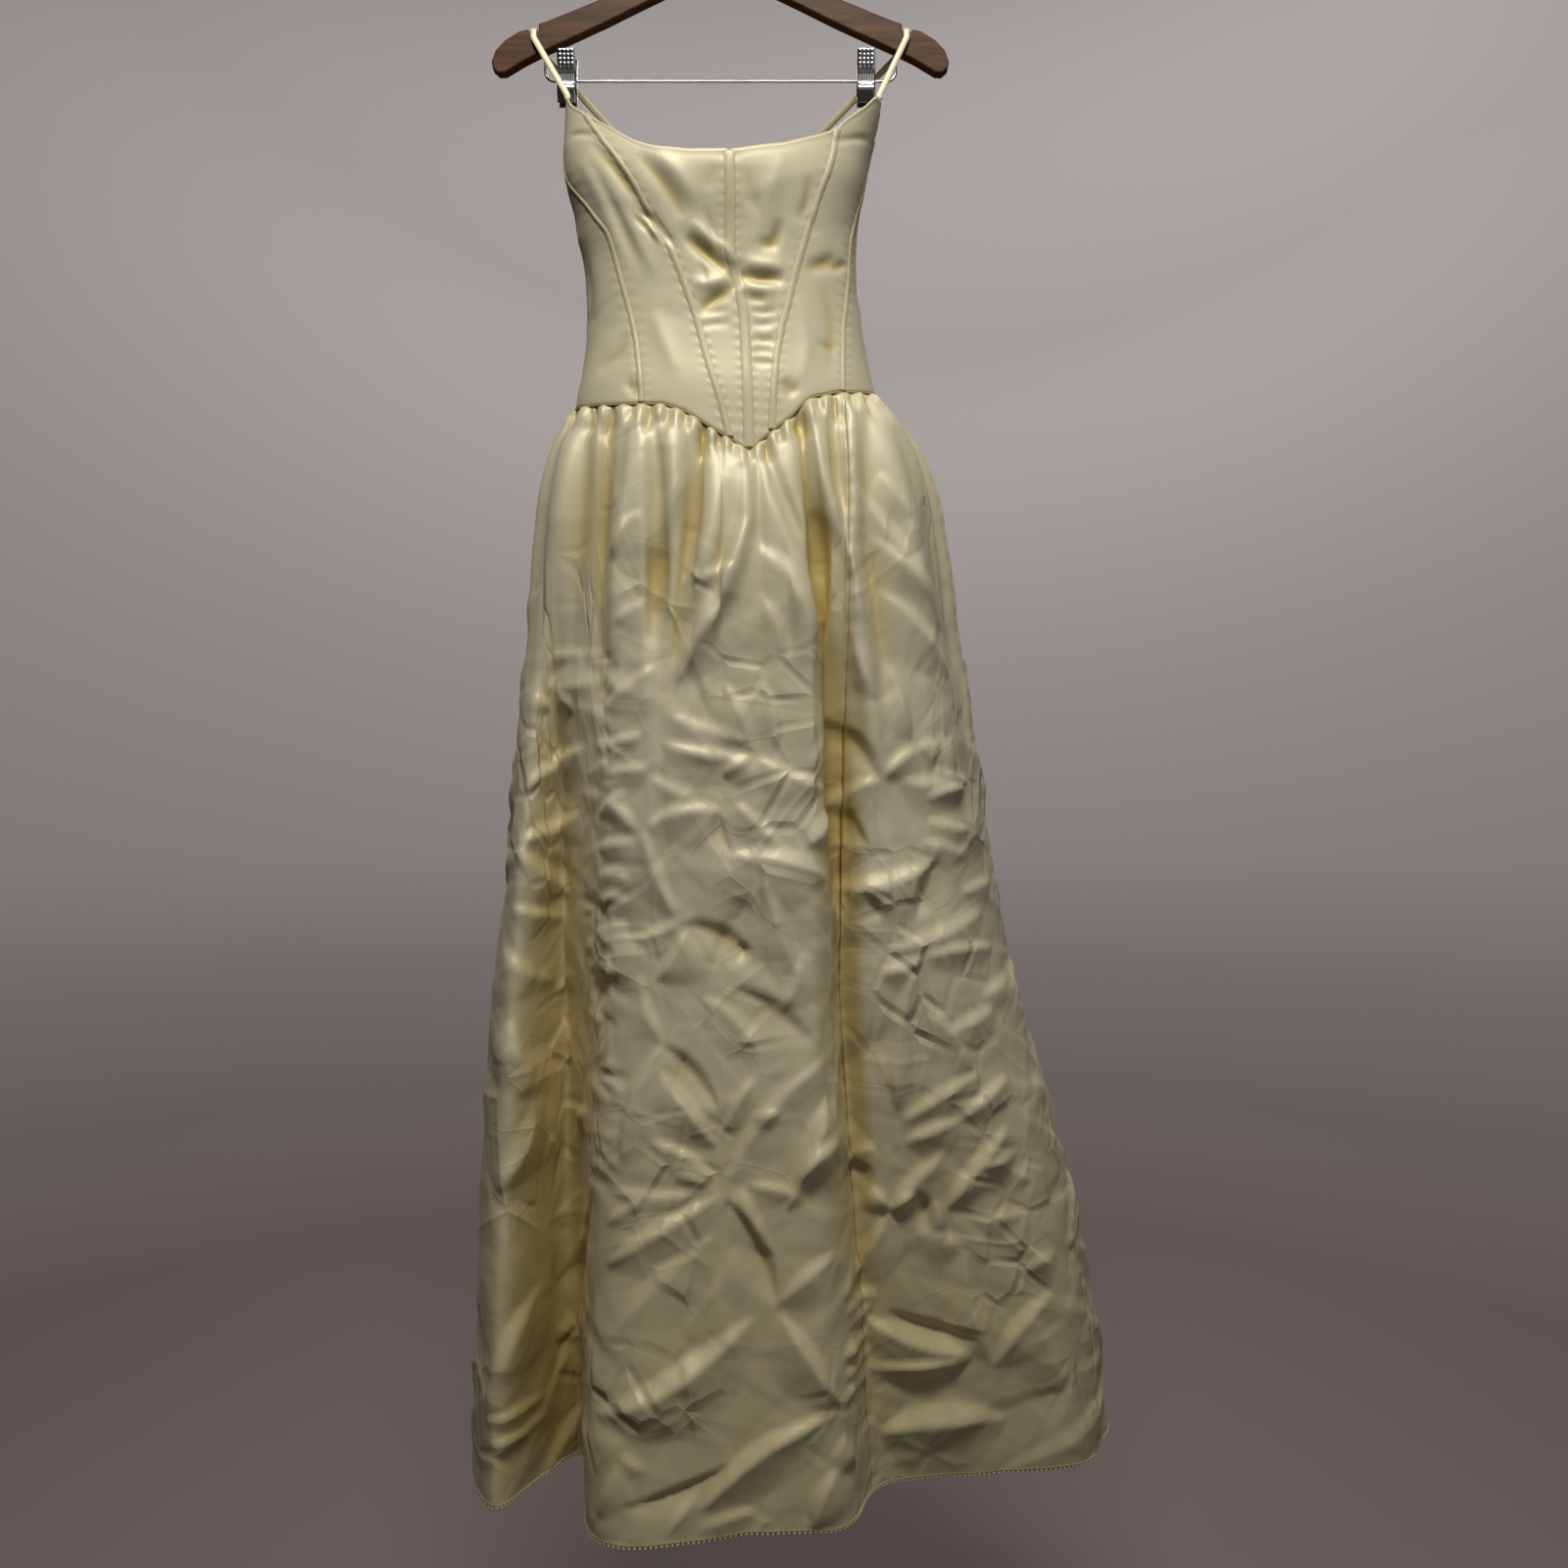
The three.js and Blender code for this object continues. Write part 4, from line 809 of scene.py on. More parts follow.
def satin_material(name, colour, roughness, fine=1.0, faceted=False):
    """Satin: a soft tinted sheen over a fine weave, slightly uneven in colour, with painted shade in its deep folds
    and hollows and low on the skirt.
    """
    material, nodes, links, shader = shader_material(name)
    cloth = nodes.new("ShaderNodeUVMap")
    cloth.uv_map = "cloth"
    place = nodes.new("ShaderNodeTexCoord")
    broad = add_noise(nodes, links, place.outputs["Object"], 9, 3)
    tint = nodes.new("ShaderNodeMix")
    tint.data_type = "RGBA"
    tint.inputs["A"].default_value = (*[c * 0.93 for c in colour[:2]], colour[2] * 0.86, 1)
    tint.inputs["B"].default_value = (*colour, 1)
    links.new(broad.outputs["Fac"], tint.inputs["Factor"])
    # Painted shade: the cloth is tinted darker and warmer where the mesh's shade attribute marks troughs and the lower
    # skirt
    shade_tint = nodes.new("ShaderNodeMix")
    shade_tint.data_type = "RGBA"
    shade_tint.blend_type = "MULTIPLY"
    shade_tint.inputs["B"].default_value = (0.82, 0.72, 0.44, 1)
    shade = nodes.new("ShaderNodeAttribute")
    shade.attribute_name = "painted_shade"
    links.new(shade.outputs["Fac"], shade_tint.inputs["Factor"])
    links.new(tint.outputs["Result"], shade_tint.inputs["A"])
    # Painted shade: where ambient occlusion finds the cloth hemmed in, its colour is blended to a dark warm tint that
    # stands in for shadow and light bounced inside deep folds
    deep = nodes.new("ShaderNodeAmbientOcclusion")
    deep.samples = 2
    deep.inputs["Distance"].default_value = 0.10
    openness = add_range(nodes, links, deep.outputs["AO"], 0.25, 0.8, 0, 1)
    occlusion_shade = nodes.new("ShaderNodeMix")
    occlusion_shade.data_type = "RGBA"
    occlusion_shade.inputs["A"].default_value = (0.60 * colour[0], 0.46 * colour[1], 0.13 * colour[2], 1)
    links.new(openness.outputs["Result"], occlusion_shade.inputs["Factor"])
    links.new(shade_tint.outputs["Result"], occlusion_shade.inputs["B"])
    links.new(occlusion_shade.outputs["Result"], shader.inputs["Base Color"])
    threads = nodes.new("ShaderNodeTexWave")
    threads.wave_type = "BANDS"
    threads.bands_direction = "DIAGONAL"
    threads.inputs["Scale"].default_value = 900
    threads.inputs["Distortion"].default_value = 1.5
    links.new(cloth.outputs["UV"], threads.inputs["Vector"])
    slubs = add_noise(nodes, links, place.outputs["Object"], 420, 2)
    blend = nodes.new("ShaderNodeMix")
    blend.data_type = "FLOAT"
    blend.inputs["Factor"].default_value = 0.5
    links.new(threads.outputs["Fac"], blend.inputs["A"])
    links.new(slubs.outputs["Fac"], blend.inputs["B"])
    bump = nodes.new("ShaderNodeBump")
    bump.inputs["Strength"].default_value = 0.12 * fine
    bump.inputs["Distance"].default_value = 0.0004
    links.new(blend.outputs["Result"], bump.inputs["Height"])
    links.new(bump.outputs["Normal"], shader.inputs["Normal"])
    if faceted:
        add_facets(nodes, links, cloth, bump)
    shader.inputs["Roughness"].default_value = roughness
    shader.inputs["Metallic"].default_value = 0.08
    shader.inputs["Specular IOR Level"].default_value = 0.45
    shader.inputs["Specular Tint"].default_value = (1, 0.96, 0.82, 1)
    shader.inputs["Coat Weight"].default_value = 0.2
    shader.inputs["Coat Roughness"].default_value = 0.4
    shader.inputs["Coat Tint"].default_value = (1, 0.98, 0.92, 1)
    shader.inputs["Sheen Weight"].default_value = 0.12
    shader.inputs["Sheen Roughness"].default_value = 0.4
    shader.inputs["Sheen Tint"].default_value = (1, 0.97, 0.88, 1)
    return material


# The finer facets of the crumpled satin: how many lie in a metre, their slope, and the height of the ridges between
FACETS = ((9, 0.045, 0.0005), (24, 0.03, 0.0002))


def add_facets(nodes, links, cloth, bump):
    """A net of flat tilted facets with sharp ridges between them, in two sizes, strongest below the hip."""
    warp = add_noise(nodes, links, cloth.outputs["UV"], 5, 0)
    place = nodes.new("ShaderNodeMix")
    place.data_type = "VECTOR"
    place.inputs["Factor"].default_value = 0.06
    links.new(cloth.outputs["UV"], place.inputs["A"])
    links.new(warp.outputs["Color"], place.inputs["B"])
    parts = nodes.new("ShaderNodeSeparateXYZ")
    links.new(cloth.outputs["UV"], parts.inputs["Vector"])
    low = nodes.new("ShaderNodeMapRange")
    low.inputs["From Min"].default_value = -0.60
    low.inputs["From Max"].default_value = -0.95
    low.inputs["To Min"].default_value = 0.3
    links.new(parts.outputs["Y"], low.inputs["Value"])
    patches = add_noise(nodes, links, cloth.outputs["UV"], 7, 1)
    patch = add_range(nodes, links, patches.outputs["Fac"], 0.42, 0.58, 0.15, 1)
    shown = nodes.new("ShaderNodeMath")
    shown.operation = "MULTIPLY"
    links.new(low.outputs["Result"], shown.inputs[0])
    links.new(patch.outputs["Result"], shown.inputs[1])
    under = None
    for scale, slope, ridge in FACETS:
        cells, rims = (nodes.new("ShaderNodeTexVoronoi") for _ in range(2))
        rims.feature = "DISTANCE_TO_EDGE"
        for each in (cells, rims):
            each.voronoi_dimensions = "2D"
            each.inputs["Scale"].default_value = scale
            links.new(place.outputs["Result"], each.inputs["Vector"])
        offset = add_vector(nodes, links, "SUBTRACT", place.outputs["Result"], cells.outputs["Position"])
        lean = add_vector(nodes, links, "SUBTRACT", cells.outputs["Color"])
        lean.inputs[1].default_value = (0.5, 0.5, 0)
        tilt = add_vector(nodes, links, "DOT_PRODUCT", offset.outputs["Vector"], lean.outputs["Vector"])
        inner = add_range(nodes, links, rims.outputs["Distance"], 0, 0.14, 0, 2 * slope)
        crest = add_range(nodes, links, rims.outputs["Distance"], 0, 0.045, ridge, 0)
        height = nodes.new("ShaderNodeMath")
        height.operation = "MULTIPLY_ADD"
        links.new(tilt.outputs["Value"], height.inputs[0])
        links.new(inner.outputs["Result"], height.inputs[1])
        links.new(crest.outputs["Result"], height.inputs[2])
        facets = nodes.new("ShaderNodeBump")
        facets.inputs["Distance"].default_value = 1
        links.new(shown.outputs["Value"], facets.inputs["Strength"])
        links.new(height.outputs["Value"], facets.inputs["Height"])
        if under:
            links.new(under.outputs["Normal"], facets.inputs["Normal"])
        under = facets
    links.new(under.outputs["Normal"], bump.inputs["Normal"])


def add_vector(nodes, links, operation, *values):
    node = nodes.new("ShaderNodeVectorMath")
    node.operation = operation
    for k, value in enumerate(values):
        links.new(value, node.inputs[k])
    return node


def add_range(nodes, links, value, from_low, from_high, to_low, to_high):
    node = nodes.new("ShaderNodeMapRange")
    for key, number in zip(("From Min", "From Max", "To Min", "To Max"), (from_low, from_high, to_low, to_high)):
        node.inputs[key].default_value = number
    links.new(value, node.inputs["Value"])
    return node


def shader_material(name):
    material = bpy.data.materials.new(name)
    material.use_nodes = True
    nodes, links = material.node_tree.nodes, material.node_tree.links
    return material, nodes, links, nodes["Principled BSDF"]


def add_noise(nodes, links, vector, scale, detail):
    noise = nodes.new("ShaderNodeTexNoise")
    noise.inputs["Scale"].default_value = scale
    noise.inputs["Detail"].default_value = detail
    links.new(vector, noise.inputs["Vector"])
    return noise


def wood_material(name, colour):
    """Varnished wood with its grain along the arms."""
    material, nodes, links, shader = shader_material(name)
    place = nodes.new("ShaderNodeTexCoord")
    stretch = nodes.new("ShaderNodeMapping")
    stretch.inputs["Scale"].default_value = (5, 60, 60)
    links.new(place.outputs["Object"], stretch.inputs["Vector"])
    grain = add_noise(nodes, links, stretch.outputs["Vector"], 4, 6)
    ramp = nodes.new("ShaderNodeValToRGB")
    ramp.color_ramp.elements[0].position = 0.35
    ramp.color_ramp.elements[0].color = (*[c * 0.55 for c in colour], 1)
    ramp.color_ramp.elements[1].position = 0.7
    ramp.color_ramp.elements[1].color = (*[min(1, c * 1.25) for c in colour], 1)
    links.new(grain.outputs["Fac"], ramp.inputs["Fac"])
    links.new(ramp.outputs["Color"], shader.inputs["Base Color"])
    bump = nodes.new("ShaderNodeBump")
    bump.inputs["Strength"].default_value = 0.08
    bump.inputs["Distance"].default_value = 0.0005
    links.new(grain.outputs["Fac"], bump.inputs["Height"])
    links.new(bump.outputs["Normal"], shader.inputs["Normal"])
    shader.inputs["Roughness"].default_value = 0.45
    shader.inputs["Specular IOR Level"].default_value = 0.2
    return material


def hard_material(name, colour, roughness, metallic, mottle, bump_scale, bump_strength):
    """Metal or rubber with slight wear and grain."""
    material, nodes, links, shader = shader_material(name)
    place = nodes.new("ShaderNodeTexCoord")
    wear = add_noise(nodes, links, place.outputs["Object"], 120, 4)
    tint = nodes.new("ShaderNodeMix")
    tint.data_type = "RGBA"
    tint.inputs["A"].default_value = (*[c * (1 - mottle) for c in colour], 1)
    tint.inputs["B"].default_value = (*colour, 1)
    links.new(wear.outputs["Fac"], tint.inputs["Factor"])
    links.new(tint.outputs["Result"], shader.inputs["Base Color"])
    rough = nodes.new("ShaderNodeMapRange")
    rough.inputs["To Min"].default_value = roughness * 0.8
    rough.inputs["To Max"].default_value = min(1, roughness * 1.3)
    links.new(wear.outputs["Fac"], rough.inputs["Value"])
    links.new(rough.outputs["Result"], shader.inputs["Roughness"])
    grain = add_noise(nodes, links, place.outputs["Object"], bump_scale, 3)
    bump = nodes.new("ShaderNodeBump")
    bump.inputs["Strength"].default_value = bump_strength
    bump.inputs["Distance"].default_value = 0.0002
    links.new(grain.outputs["Fac"], bump.inputs["Height"])
    links.new(bump.outputs["Normal"], shader.inputs["Normal"])
    shader.inputs["Metallic"].default_value = metallic
    return material


def material_for(key):
    """The material of that key, made on first use from the scene's colours."""
    colours = bpy.context.scene.dress_colours
    name = f"dressed_{key}"
    found = bpy.data.materials.get(name)
    if found:
        return found
    makers = {
        "bodice_satin": lambda: satin_material(name, colours.satin, 0.47),
        "skirt_satin": lambda: satin_material(name, colours.satin, 0.45, faceted=True),
        "channel_satin": lambda: satin_material(name, colours.channel, 0.4),
        "strap_satin": lambda: satin_material(name, colours.satin, 0.4, 1.4),
        "thread": lambda: hard_material(name, colours.thread, 0.7, 0, 0.12, 2500, 0.4),
        "seam": lambda: hard_material(name, colours.seam, 0.7, 0, 0.3, 1500, 0.4),
        "zip_tape": lambda: satin_material(name, colours.channel, 0.55, 1.6),
        "zip_metal": lambda: hard_material(name, colours.zip_metal, 0.4, 0.7, 0.1, 900, 0.05),
        "wood": lambda: wood_material(name, colours.wood),
        "chrome": lambda: hard_material(name, colours.chrome, 0.2, 1, 0.15, 700, 0.03),
        "rubber": lambda: hard_material(name, colours.rubber, 0.8, 0, 0.3, 1800, 0.3),
    }
    return makers[key]()


def stitches_object(name, middles, alongs, outs, length, radius):
    """Short thread stitches joined in one piece, each a small rounded body laid along the cloth."""
    bm = bmesh.new()
    for middle, along, out in zip(middles, alongs, outs):
        along = Vector(along).normalized()
        out = Vector(out).normalized()
        side = along.cross(out).normalized()
        out = side.cross(along)
        matrix = frame_matrix(Vector(middle), along * (length / 2), side * radius, out * radius * 0.8)
        bmesh.ops.create_icosphere(bm, subdivisions=1, radius=1, matrix=matrix)
    mesh = bpy.data.meshes.new(name)
    bm.to_mesh(mesh)
    bm.free()
    return finish_object(name, mesh, material_for("thread"))


def frame_matrix(origin, x, y, z):
    """A matrix that takes the unit axes to x, y and z at origin."""
    return Matrix((
        (x.x, y.x, z.x, origin.x),
        (x.y, y.y, z.y, origin.y),
        (x.z, y.z, z.z, origin.z),
        (0, 0, 0, 1),
    ))


def box_object(name, low, high, bevel, material):
    """A box from its two corners in metres, with rounded edges."""
    bm = bmesh.new()
    bmesh.ops.create_cube(bm, size=1)
    low, high = Vector(low), Vector(high)
    for vertex in bm.verts:
        vertex.co = Vector(low[k] + (high[k] - low[k]) * (vertex.co[k] + 0.5) for k in range(3))
    bmesh.ops.bevel(bm, geom=bm.edges[:], offset=bevel, segments=3, profile=0.5, affect="EDGES", material=-1)
    mesh = bpy.data.meshes.new(name)
    bm.to_mesh(mesh)
    bm.free()
    return finish_object(name, mesh, material)


# How many columns and rows a bodice panel gets
PANEL_COLUMNS, PANEL_ROWS = 36, 100
SEAM_GAP = 0.3


def make_panel(name, left, right):
    def place(u, v):
        z = waist_z(panel_angle(left, right, u, np.zeros_like(v))) + WAIST_GAP / 2
        z = z + (top_z(panel_angle(left, right, u, np.ones_like(v))) - z) * v
        angle = panel_angle(left, right, u, v)
        arc = bodice_arc(angle, z)
        angle = angle + (0.5 - u) * 2 * np.clip(np.abs(u - 0.5) * 2, 0, 1) ** 8 * SEAM_GAP / 2 / arc * 1.5
        start = panel_angle(left, right, np.zeros_like(v), v)
        end = panel_angle(left, right, np.ones_like(v), v)
        edge = np.minimum((angle - start) * arc, (end - angle) * arc)
        pucker = np.sin(z / 1.7 + 2.2 * np.sin(z / 21) + angle / 9)
        lift = -0.7 * np.exp(-((edge / 1.3) ** 2)) + 0.3 * np.exp(-((edge - 5) / 5) ** 2) * pucker
        up = v * (top_z(angle) - waist_z(angle))
        down = (1 - v) * (top_z(angle) - waist_z(angle))
        lift += 0.5 * np.exp(-((down / 2.2) ** 2)) - 0.25 * np.exp(-(((down - 5.5) / 1.2) ** 2))
        lift -= 0.5 * np.exp(-((up / 1.5) ** 2))
        points = bodice_surface(angle, z, lift)
        cloth = np.stack([angle * 2.4, z], -1) * MM
        # The third value is painted shade for the bodice's troughs
        return points, cloth, smooth_step(-bodice_relief(angle, z), 0.4, 3.6)

    return grid_object(f"panel_{name}", PANEL_COLUMNS, PANEL_ROWS, place, material_for("bodice_satin"), wall=0.0013)


class DRESS_OT_bodice(bpy.types.Operator):
    """Make the ten panels of the bodice"""

    bl_idname = "dress.bodice"
    bl_label = "Bodice"

    def execute(self, context):
        for k, name in enumerate(PANELS):
            panel = make_panel(name, BODICE_SEAMS[k], BODICE_SEAMS[k + 1])
            dress_piece(panel, "bodice_satin", f"bodice_{name}")
        return {"FINISHED"}


def make_channel(seam):
    """A boning channel with a rounded crown and a row of stitches along each side."""
    name, width = seam[0], seam[1]

    def along(v, across, lift):
        v = 0.004 + 0.99 * v
        z = seam_height(seam, v)
        middle = seam_angle(seam, z)
        angle = middle + across * width / bodice_arc(middle, z)
        return bodice_surface(angle, z, lift)

    def crown(across):
        groove = 0.35 * np.exp(-(((np.abs(across) * width - width / 2 + 1.3) / 0.5) ** 2))
        return 0.3 + 0.75 * (1 - np.abs(2 * across) ** 3) - groove

    def place(u, v):
        return along(v, u - 0.5, crown(u - 0.5))

    channel = grid_object(f"channel_{name}", 14, 110, place, material_for("channel_satin"), wall=0.0003)
    dress_piece(channel, "channel_satin", f"bone_{name}")

    length = abs(seam[2][-1][1] - seam[2][0][1])
    count = int(length * 0.9 / bpy.context.scene.dress_sizes.stitch_pitch / 1000)
    v = (np.arange(count) + 0.5) / count
    middles, alongs, outs = [], [], []
    for side in (-1, 1):
        across = side * (0.5 - 1.3 / width) + 0 * v
        lift = crown(across) + 0.1
        here, ahead = along(v, across, lift), along(v + 0.002, across, lift)
        raised = along(v, across, lift + 1)
        middles.extend(here)
        alongs.extend(ahead - here)
        outs.extend(raised - here)
    stitches = stitches_object(f"channel_stitches_{name}", middles, alongs, outs, 0.0019, 0.00022)
    dress_piece(stitches, "channel_satin")
    return channel, stitches


# The panel that the zip's covered strip is sewn to
ZIP_PANEL = "back_centre_left"


class DRESS_OT_channels(bpy.types.Operator):
    """Make the boning channels over the front seams, with their stitches"""

    bl_idname = "dress.channels"
    bl_label = "Boning Channels"

    def execute(self, context):
        for k, name in enumerate(PANELS):
            left, right = BODICE_SEAMS[k], BODICE_SEAMS[k + 1]
            sewn_on = ["zip_lips"] if name == ZIP_PANEL else make_channel(left) if left[1] else ()
        return {"FINISHED"}


class DRESS_OT_skirt(bpy.types.Operator):
    """Make the gores of the gathered skirt, with their overlocked hem"""

    bl_idname = "dress.skirt"
    bl_label = "Skirt"

    def execute(self, context):
        for name, start, end, columns in GORES:
            points, cloth, painted_shade = skirt_points(start, end, columns)

            def place(u, v, points=points, cloth=cloth, painted_shade=painted_shade, columns=columns):
                i, j = np.rint(u * columns).astype(int), np.rint(v * SKIRT_ROWS).astype(int)
                return points[j, i], cloth[j, i], painted_shade[j, i]

            gore = grid_object(f"gore_{name}", columns, SKIRT_ROWS, place, material_for("skirt_satin"), wall=0.0009)
            dress_piece(gore, "skirt_satin", f"skirt_{name}")
            make_overlock(name, points)
        angle = np.linspace(-179.8, 179.8, 900)
        line = bodice_surface(angle, waist_z(angle), -0.35)
        cord = tube_object("waist_seam", line, 0.0010, 6, material_for("seam"))
        dress_piece(cord, "skirt_satin")
        return {"FINISHED"}


def make_overlock(name, points):
    """The overlocked hem: slanted stitches over the cloth's edge, and the thread along it."""
    edge, above = points[0], points[2]
    out = grid_normals(points)[1]
    run = np.append(0, np.cumsum(np.linalg.norm(np.diff(edge, axis=0), axis=1)))
    count = int(run[-1] / 0.0024)
    s = (np.arange(count) + 0.5) / count * run[-1]

    def at(rows, s):
        return np.stack([np.interp(s, run, rows[:, k]) for k in range(3)], -1)

    outs = at(out, s)
    up = at(above, s) - at(edge, s)
    up /= np.linalg.norm(up, axis=1, keepdims=True)
    middles = at(edge, s) + up * 0.0022 + outs * 0.0003
    ahead = at(edge, s + 0.001) - at(edge, s)
    alongs = up * 0.004 + ahead * 1.2
    stitches = stitches_object(f"hem_stitches_{name}", middles, alongs, outs, 0.0046, 0.0005)
    dress_piece(stitches, "skirt_satin")

    fine = np.linspace(run[0], run[-1], int(run[-1] / 0.0012))
    wave = np.sin(fine / 0.0048 * 2 * math.pi)[:, None]
    line = at(edge, fine) + at(out, fine) * wave * 0.0005 - at(out, fine) * 0.0004
    line[:, 2] += 0.0002
    cord = tube_object(f"hem_edge_{name}", line, 0.0008, 6, material_for("thread"))
    dress_piece(cord, "skirt_satin")
    return stitches, cord


# Straps by side, with the angle of each one's back end
STRAPS = (("right", -1, 151), ("left", 1, 156))
STRAP_FRONT_ANGLE, STRAP_WIDTH, STRAP_THICKNESS, STRAP_AROUND = 77.5, 6, 1.9, 13.4
STRAP_FOOT = 4
NOTCH_X, NOTCH_Z = 181, -175
# The strap's way over the hanger's notch: back from the middle, and up
NOTCH_PATH = (
    (-9.4, -8), (-8.6, -1.6), (-7.3, 1.4), (-4.6, 2.3), (0, 1.6), (4.6, 2.3), (7.3, 1.4), (8.6, -1.6), (9.6, -8),
)


def polyline(points, step):
    """Points every step or less along straight stretches."""
    line = []
    for a, b in zip(points[:-1], points[1:]):
        a, b = np.array(a, float), np.array(b, float)
        count = max(1, int(np.linalg.norm(b - a) / step))
        line.extend(a + (b - a) * k / count for k in range(count))
    line.append(np.array(points[-1], float))
    return np.array(line)


def relaxed(line, rounds):
    """A line with its corners softened and its ends kept."""
    for _ in range(rounds):
        line[1:-1] = (line[:-2] + 2 * line[1:-1] + line[2:]) / 4
    return line


class DRESS_OT_straps(bpy.types.Operator):
    """Make the two narrow straps"""

    bl_idname = "dress.straps"
    bl_label = "Straps"

    def execute(self, context):
        for name, side, back_angle in STRAPS:
            ends = []
            for angle in (side * STRAP_FRONT_ANGLE, side * back_angle):
                z = float(top_z(np.array([angle]))[0]) + 0.6
                x, y, _ = bodice_surface(np.array([angle]), np.array([z]), -1.0)[0] / MM
                ends.append((x, y, z))
            (x0, y0, z0), (x1, y1, z1) = ends
            points = [(x0, y0, z0), (x0, y0, z0 + STRAP_FOOT)]
            points += [(side * NOTCH_X, y, NOTCH_Z + z) for y, z in NOTCH_PATH]
            points += [(x1, y1, z1 + STRAP_FOOT), (x1, y1, z1)]
            line = relaxed(polyline(points, 1.5), 2) * MM
            strap = tube_object(f"strap_{name}_satin", line, STRAP_WIDTH * MM / 2, 16, material_for("strap_satin"),
                                (1, STRAP_THICKNESS / STRAP_WIDTH), (1, 0, 0), 0.0004)
            dress_piece(strap, "strap_satin", f"strap_{name}")
        return {"FINISHED"}


ZIP_WIDTH = 5


class DRESS_OT_zip(bpy.types.Operator):
    """Make the concealed zip at the centre back, with its slider and pull"""

    bl_idname = "dress.zip"
    bl_label = "Zip"

    def execute(self, context):
        seam = BODICE_SEAMS[0]

        def place(u, v):
            v = 0.02 + 0.88 * v
            z = seam_height(seam, v)
            angle = 180 + (u - 0.5) * ZIP_WIDTH / bodice_arc(180 + 0 * z, z)
            groove = 0.45 * np.exp(-(((u - 0.5) * ZIP_WIDTH / 0.35) ** 2))
            return bodice_surface(angle, z, 0.75 + 0.35 * (1 - np.abs(2 * u - 1) ** 4) - groove)

        strip = grid_object("zip_lips", 22, 120, place, material_for("zip_tape"), wall=0.0003)
        dress_piece(strip, "zip_tape", "zip_strip")
        low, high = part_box("zip_slider")
        slider = box_object("zip_slider_body", low, high, 0.0007, material_for("zip_metal"))
        dress_piece(slider, "zip_metal", "zip_slider")
        for node in ("zip_bridge", "zip_pull"):
            dress_node(node, "zip_metal")
        return {"FINISHED"}


def dress_node(node, key):
    """Gives a CAD node that stays its material."""
    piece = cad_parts[node]
    piece.data.materials.clear()
    piece.data.materials.append(material_for(key))


# The hanger's hook and bar, in millimetres
HOOK_RADIUS, HOOK_WIRE = 24, 0.002
HOOK_SHANK = ((0, 0, -94.5), (0, 0, -78), (0, 0, -62), (5, 0, -50.5))
BAR_Z, BAR_END, BAR_TURN, BAR_WIRE = -221, 171, 9, 0.00125


class DRESS_OT_hanger(bpy.types.Operator):
    """Make the wooden hanger with its hook and bar"""

    bl_idname = "dress.hanger"
    bl_label = "Hanger"

    def execute(self, context):
        dress_node("hanger_arms", "wood")
        hook = list(HOOK_SHANK)
        for degrees in range(-55, 186, 15):
            turn = math.radians(degrees)
            hook.append((HOOK_RADIUS * math.cos(turn), 0, HOOK_RADIUS * math.sin(turn) - 22))
        line = smooth_path(hook, 8) * MM
        piece = tube_object("hook_wire", line, HOOK_WIRE, 20, material_for("chrome"), wide=(0, 1, 0))
        dress_piece(piece, "chrome", "hanger_hook")
        half = [(BAR_END, 0, -195), (BAR_END, 0, BAR_Z + BAR_TURN)]
        for degrees in (20, 40, 60, 80):
            turn = math.radians(degrees)
            half.append((BAR_END - BAR_TURN * (1 - math.cos(turn)), 0, BAR_Z + BAR_TURN * (1 - math.sin(turn))))
        half += [(BAR_END - BAR_TURN, 0, BAR_Z), (150, 0, BAR_Z), (60, 0, BAR_Z)]
        bar = half + [(-x, y, z) for x, y, z in reversed(half)]
        line = polyline(bar, 2.5) * MM
        piece = tube_object("bar_wire", line, BAR_WIRE, 14, material_for("chrome"), wide=(0, 1, 0))
        dress_piece(piece, "chrome", "trouser_bar")
        return {"FINISHED"}


# A clip plate's side view: back from the middle and up from the bar
CLIP_LINE = ((9.2, 27), (7.4, 20), (4.2, 5), (4.2, -4), (7.4, -9), (7.2, -13), (3.4, -22.5))
CLIPS = (("right", -149.5), ("left", 142))
CLIP_WIDTH, DOT_PITCH = 17, 3.9


def make_clip_plate(name, centre, face, side):
    """A bent chrome plate with raised dots on its grip and ribs below."""
    line = relaxed(polyline([(centre, side * y, z + BAR_Z) for y, z in CLIP_LINE], 0.5), 4) * MM
    tangent = np.gradient(line, axis=0)
    tangent /= np.linalg.norm(tangent, axis=1, keepdims=True)
    out = np.cross((1.0, 0, 0), tangent) * side
    out *= np.sign((out[:, 1] * side).sum())
    last = len(line) - 1
    length = np.append(0, np.cumsum(np.linalg.norm(np.diff(line, axis=0), axis=1))) / MM

    def place(u, v):
        k = np.rint(v * last).astype(int)
        across, down = (u - 0.5) * CLIP_WIDTH, length[k]
        dots = dot_field(across, down) * (down < 17) * (down > 1.5)
        ribs = 0.4 * (0.5 + 0.5 * np.cos(across / 2.4 * 2 * math.pi)) ** 2 * smooth_step(down, 19, 21)
        ribs = ribs * smooth_step(down, 33, 31)
        curl = 0.5 * np.exp(-(((np.abs(across) - CLIP_WIDTH / 2) / 0.8) ** 2))
        lift = (0.6 + 0.55 * dots + ribs - curl) * MM
        return line[k] + np.array((1.0, 0, 0)) * (across * MM)[:, None] + out[k] * lift[:, None]

    piece = grid_object(f"clip_plate_{name}_{face}", 48, last, place, material_for("chrome"))
    if side > 0:
        piece.data.flip_normals()
    shell = piece.modifiers.new("wall", "SOLIDIFY")
    shell.thickness = 0.0011
    shell.offset = -1
    dress_piece(piece, "chrome", f"clip_{name}_{face}")


def dot_field(across, down):
    """Rounded dots in rows of four."""
    dx = (across % DOT_PITCH) - DOT_PITCH / 2
    dz = (down % DOT_PITCH) - DOT_PITCH / 2
    return np.clip(1.2 - (dx**2 + dz**2) / 1.4, 0, 1) * (np.abs(across) < 2 * DOT_PITCH)


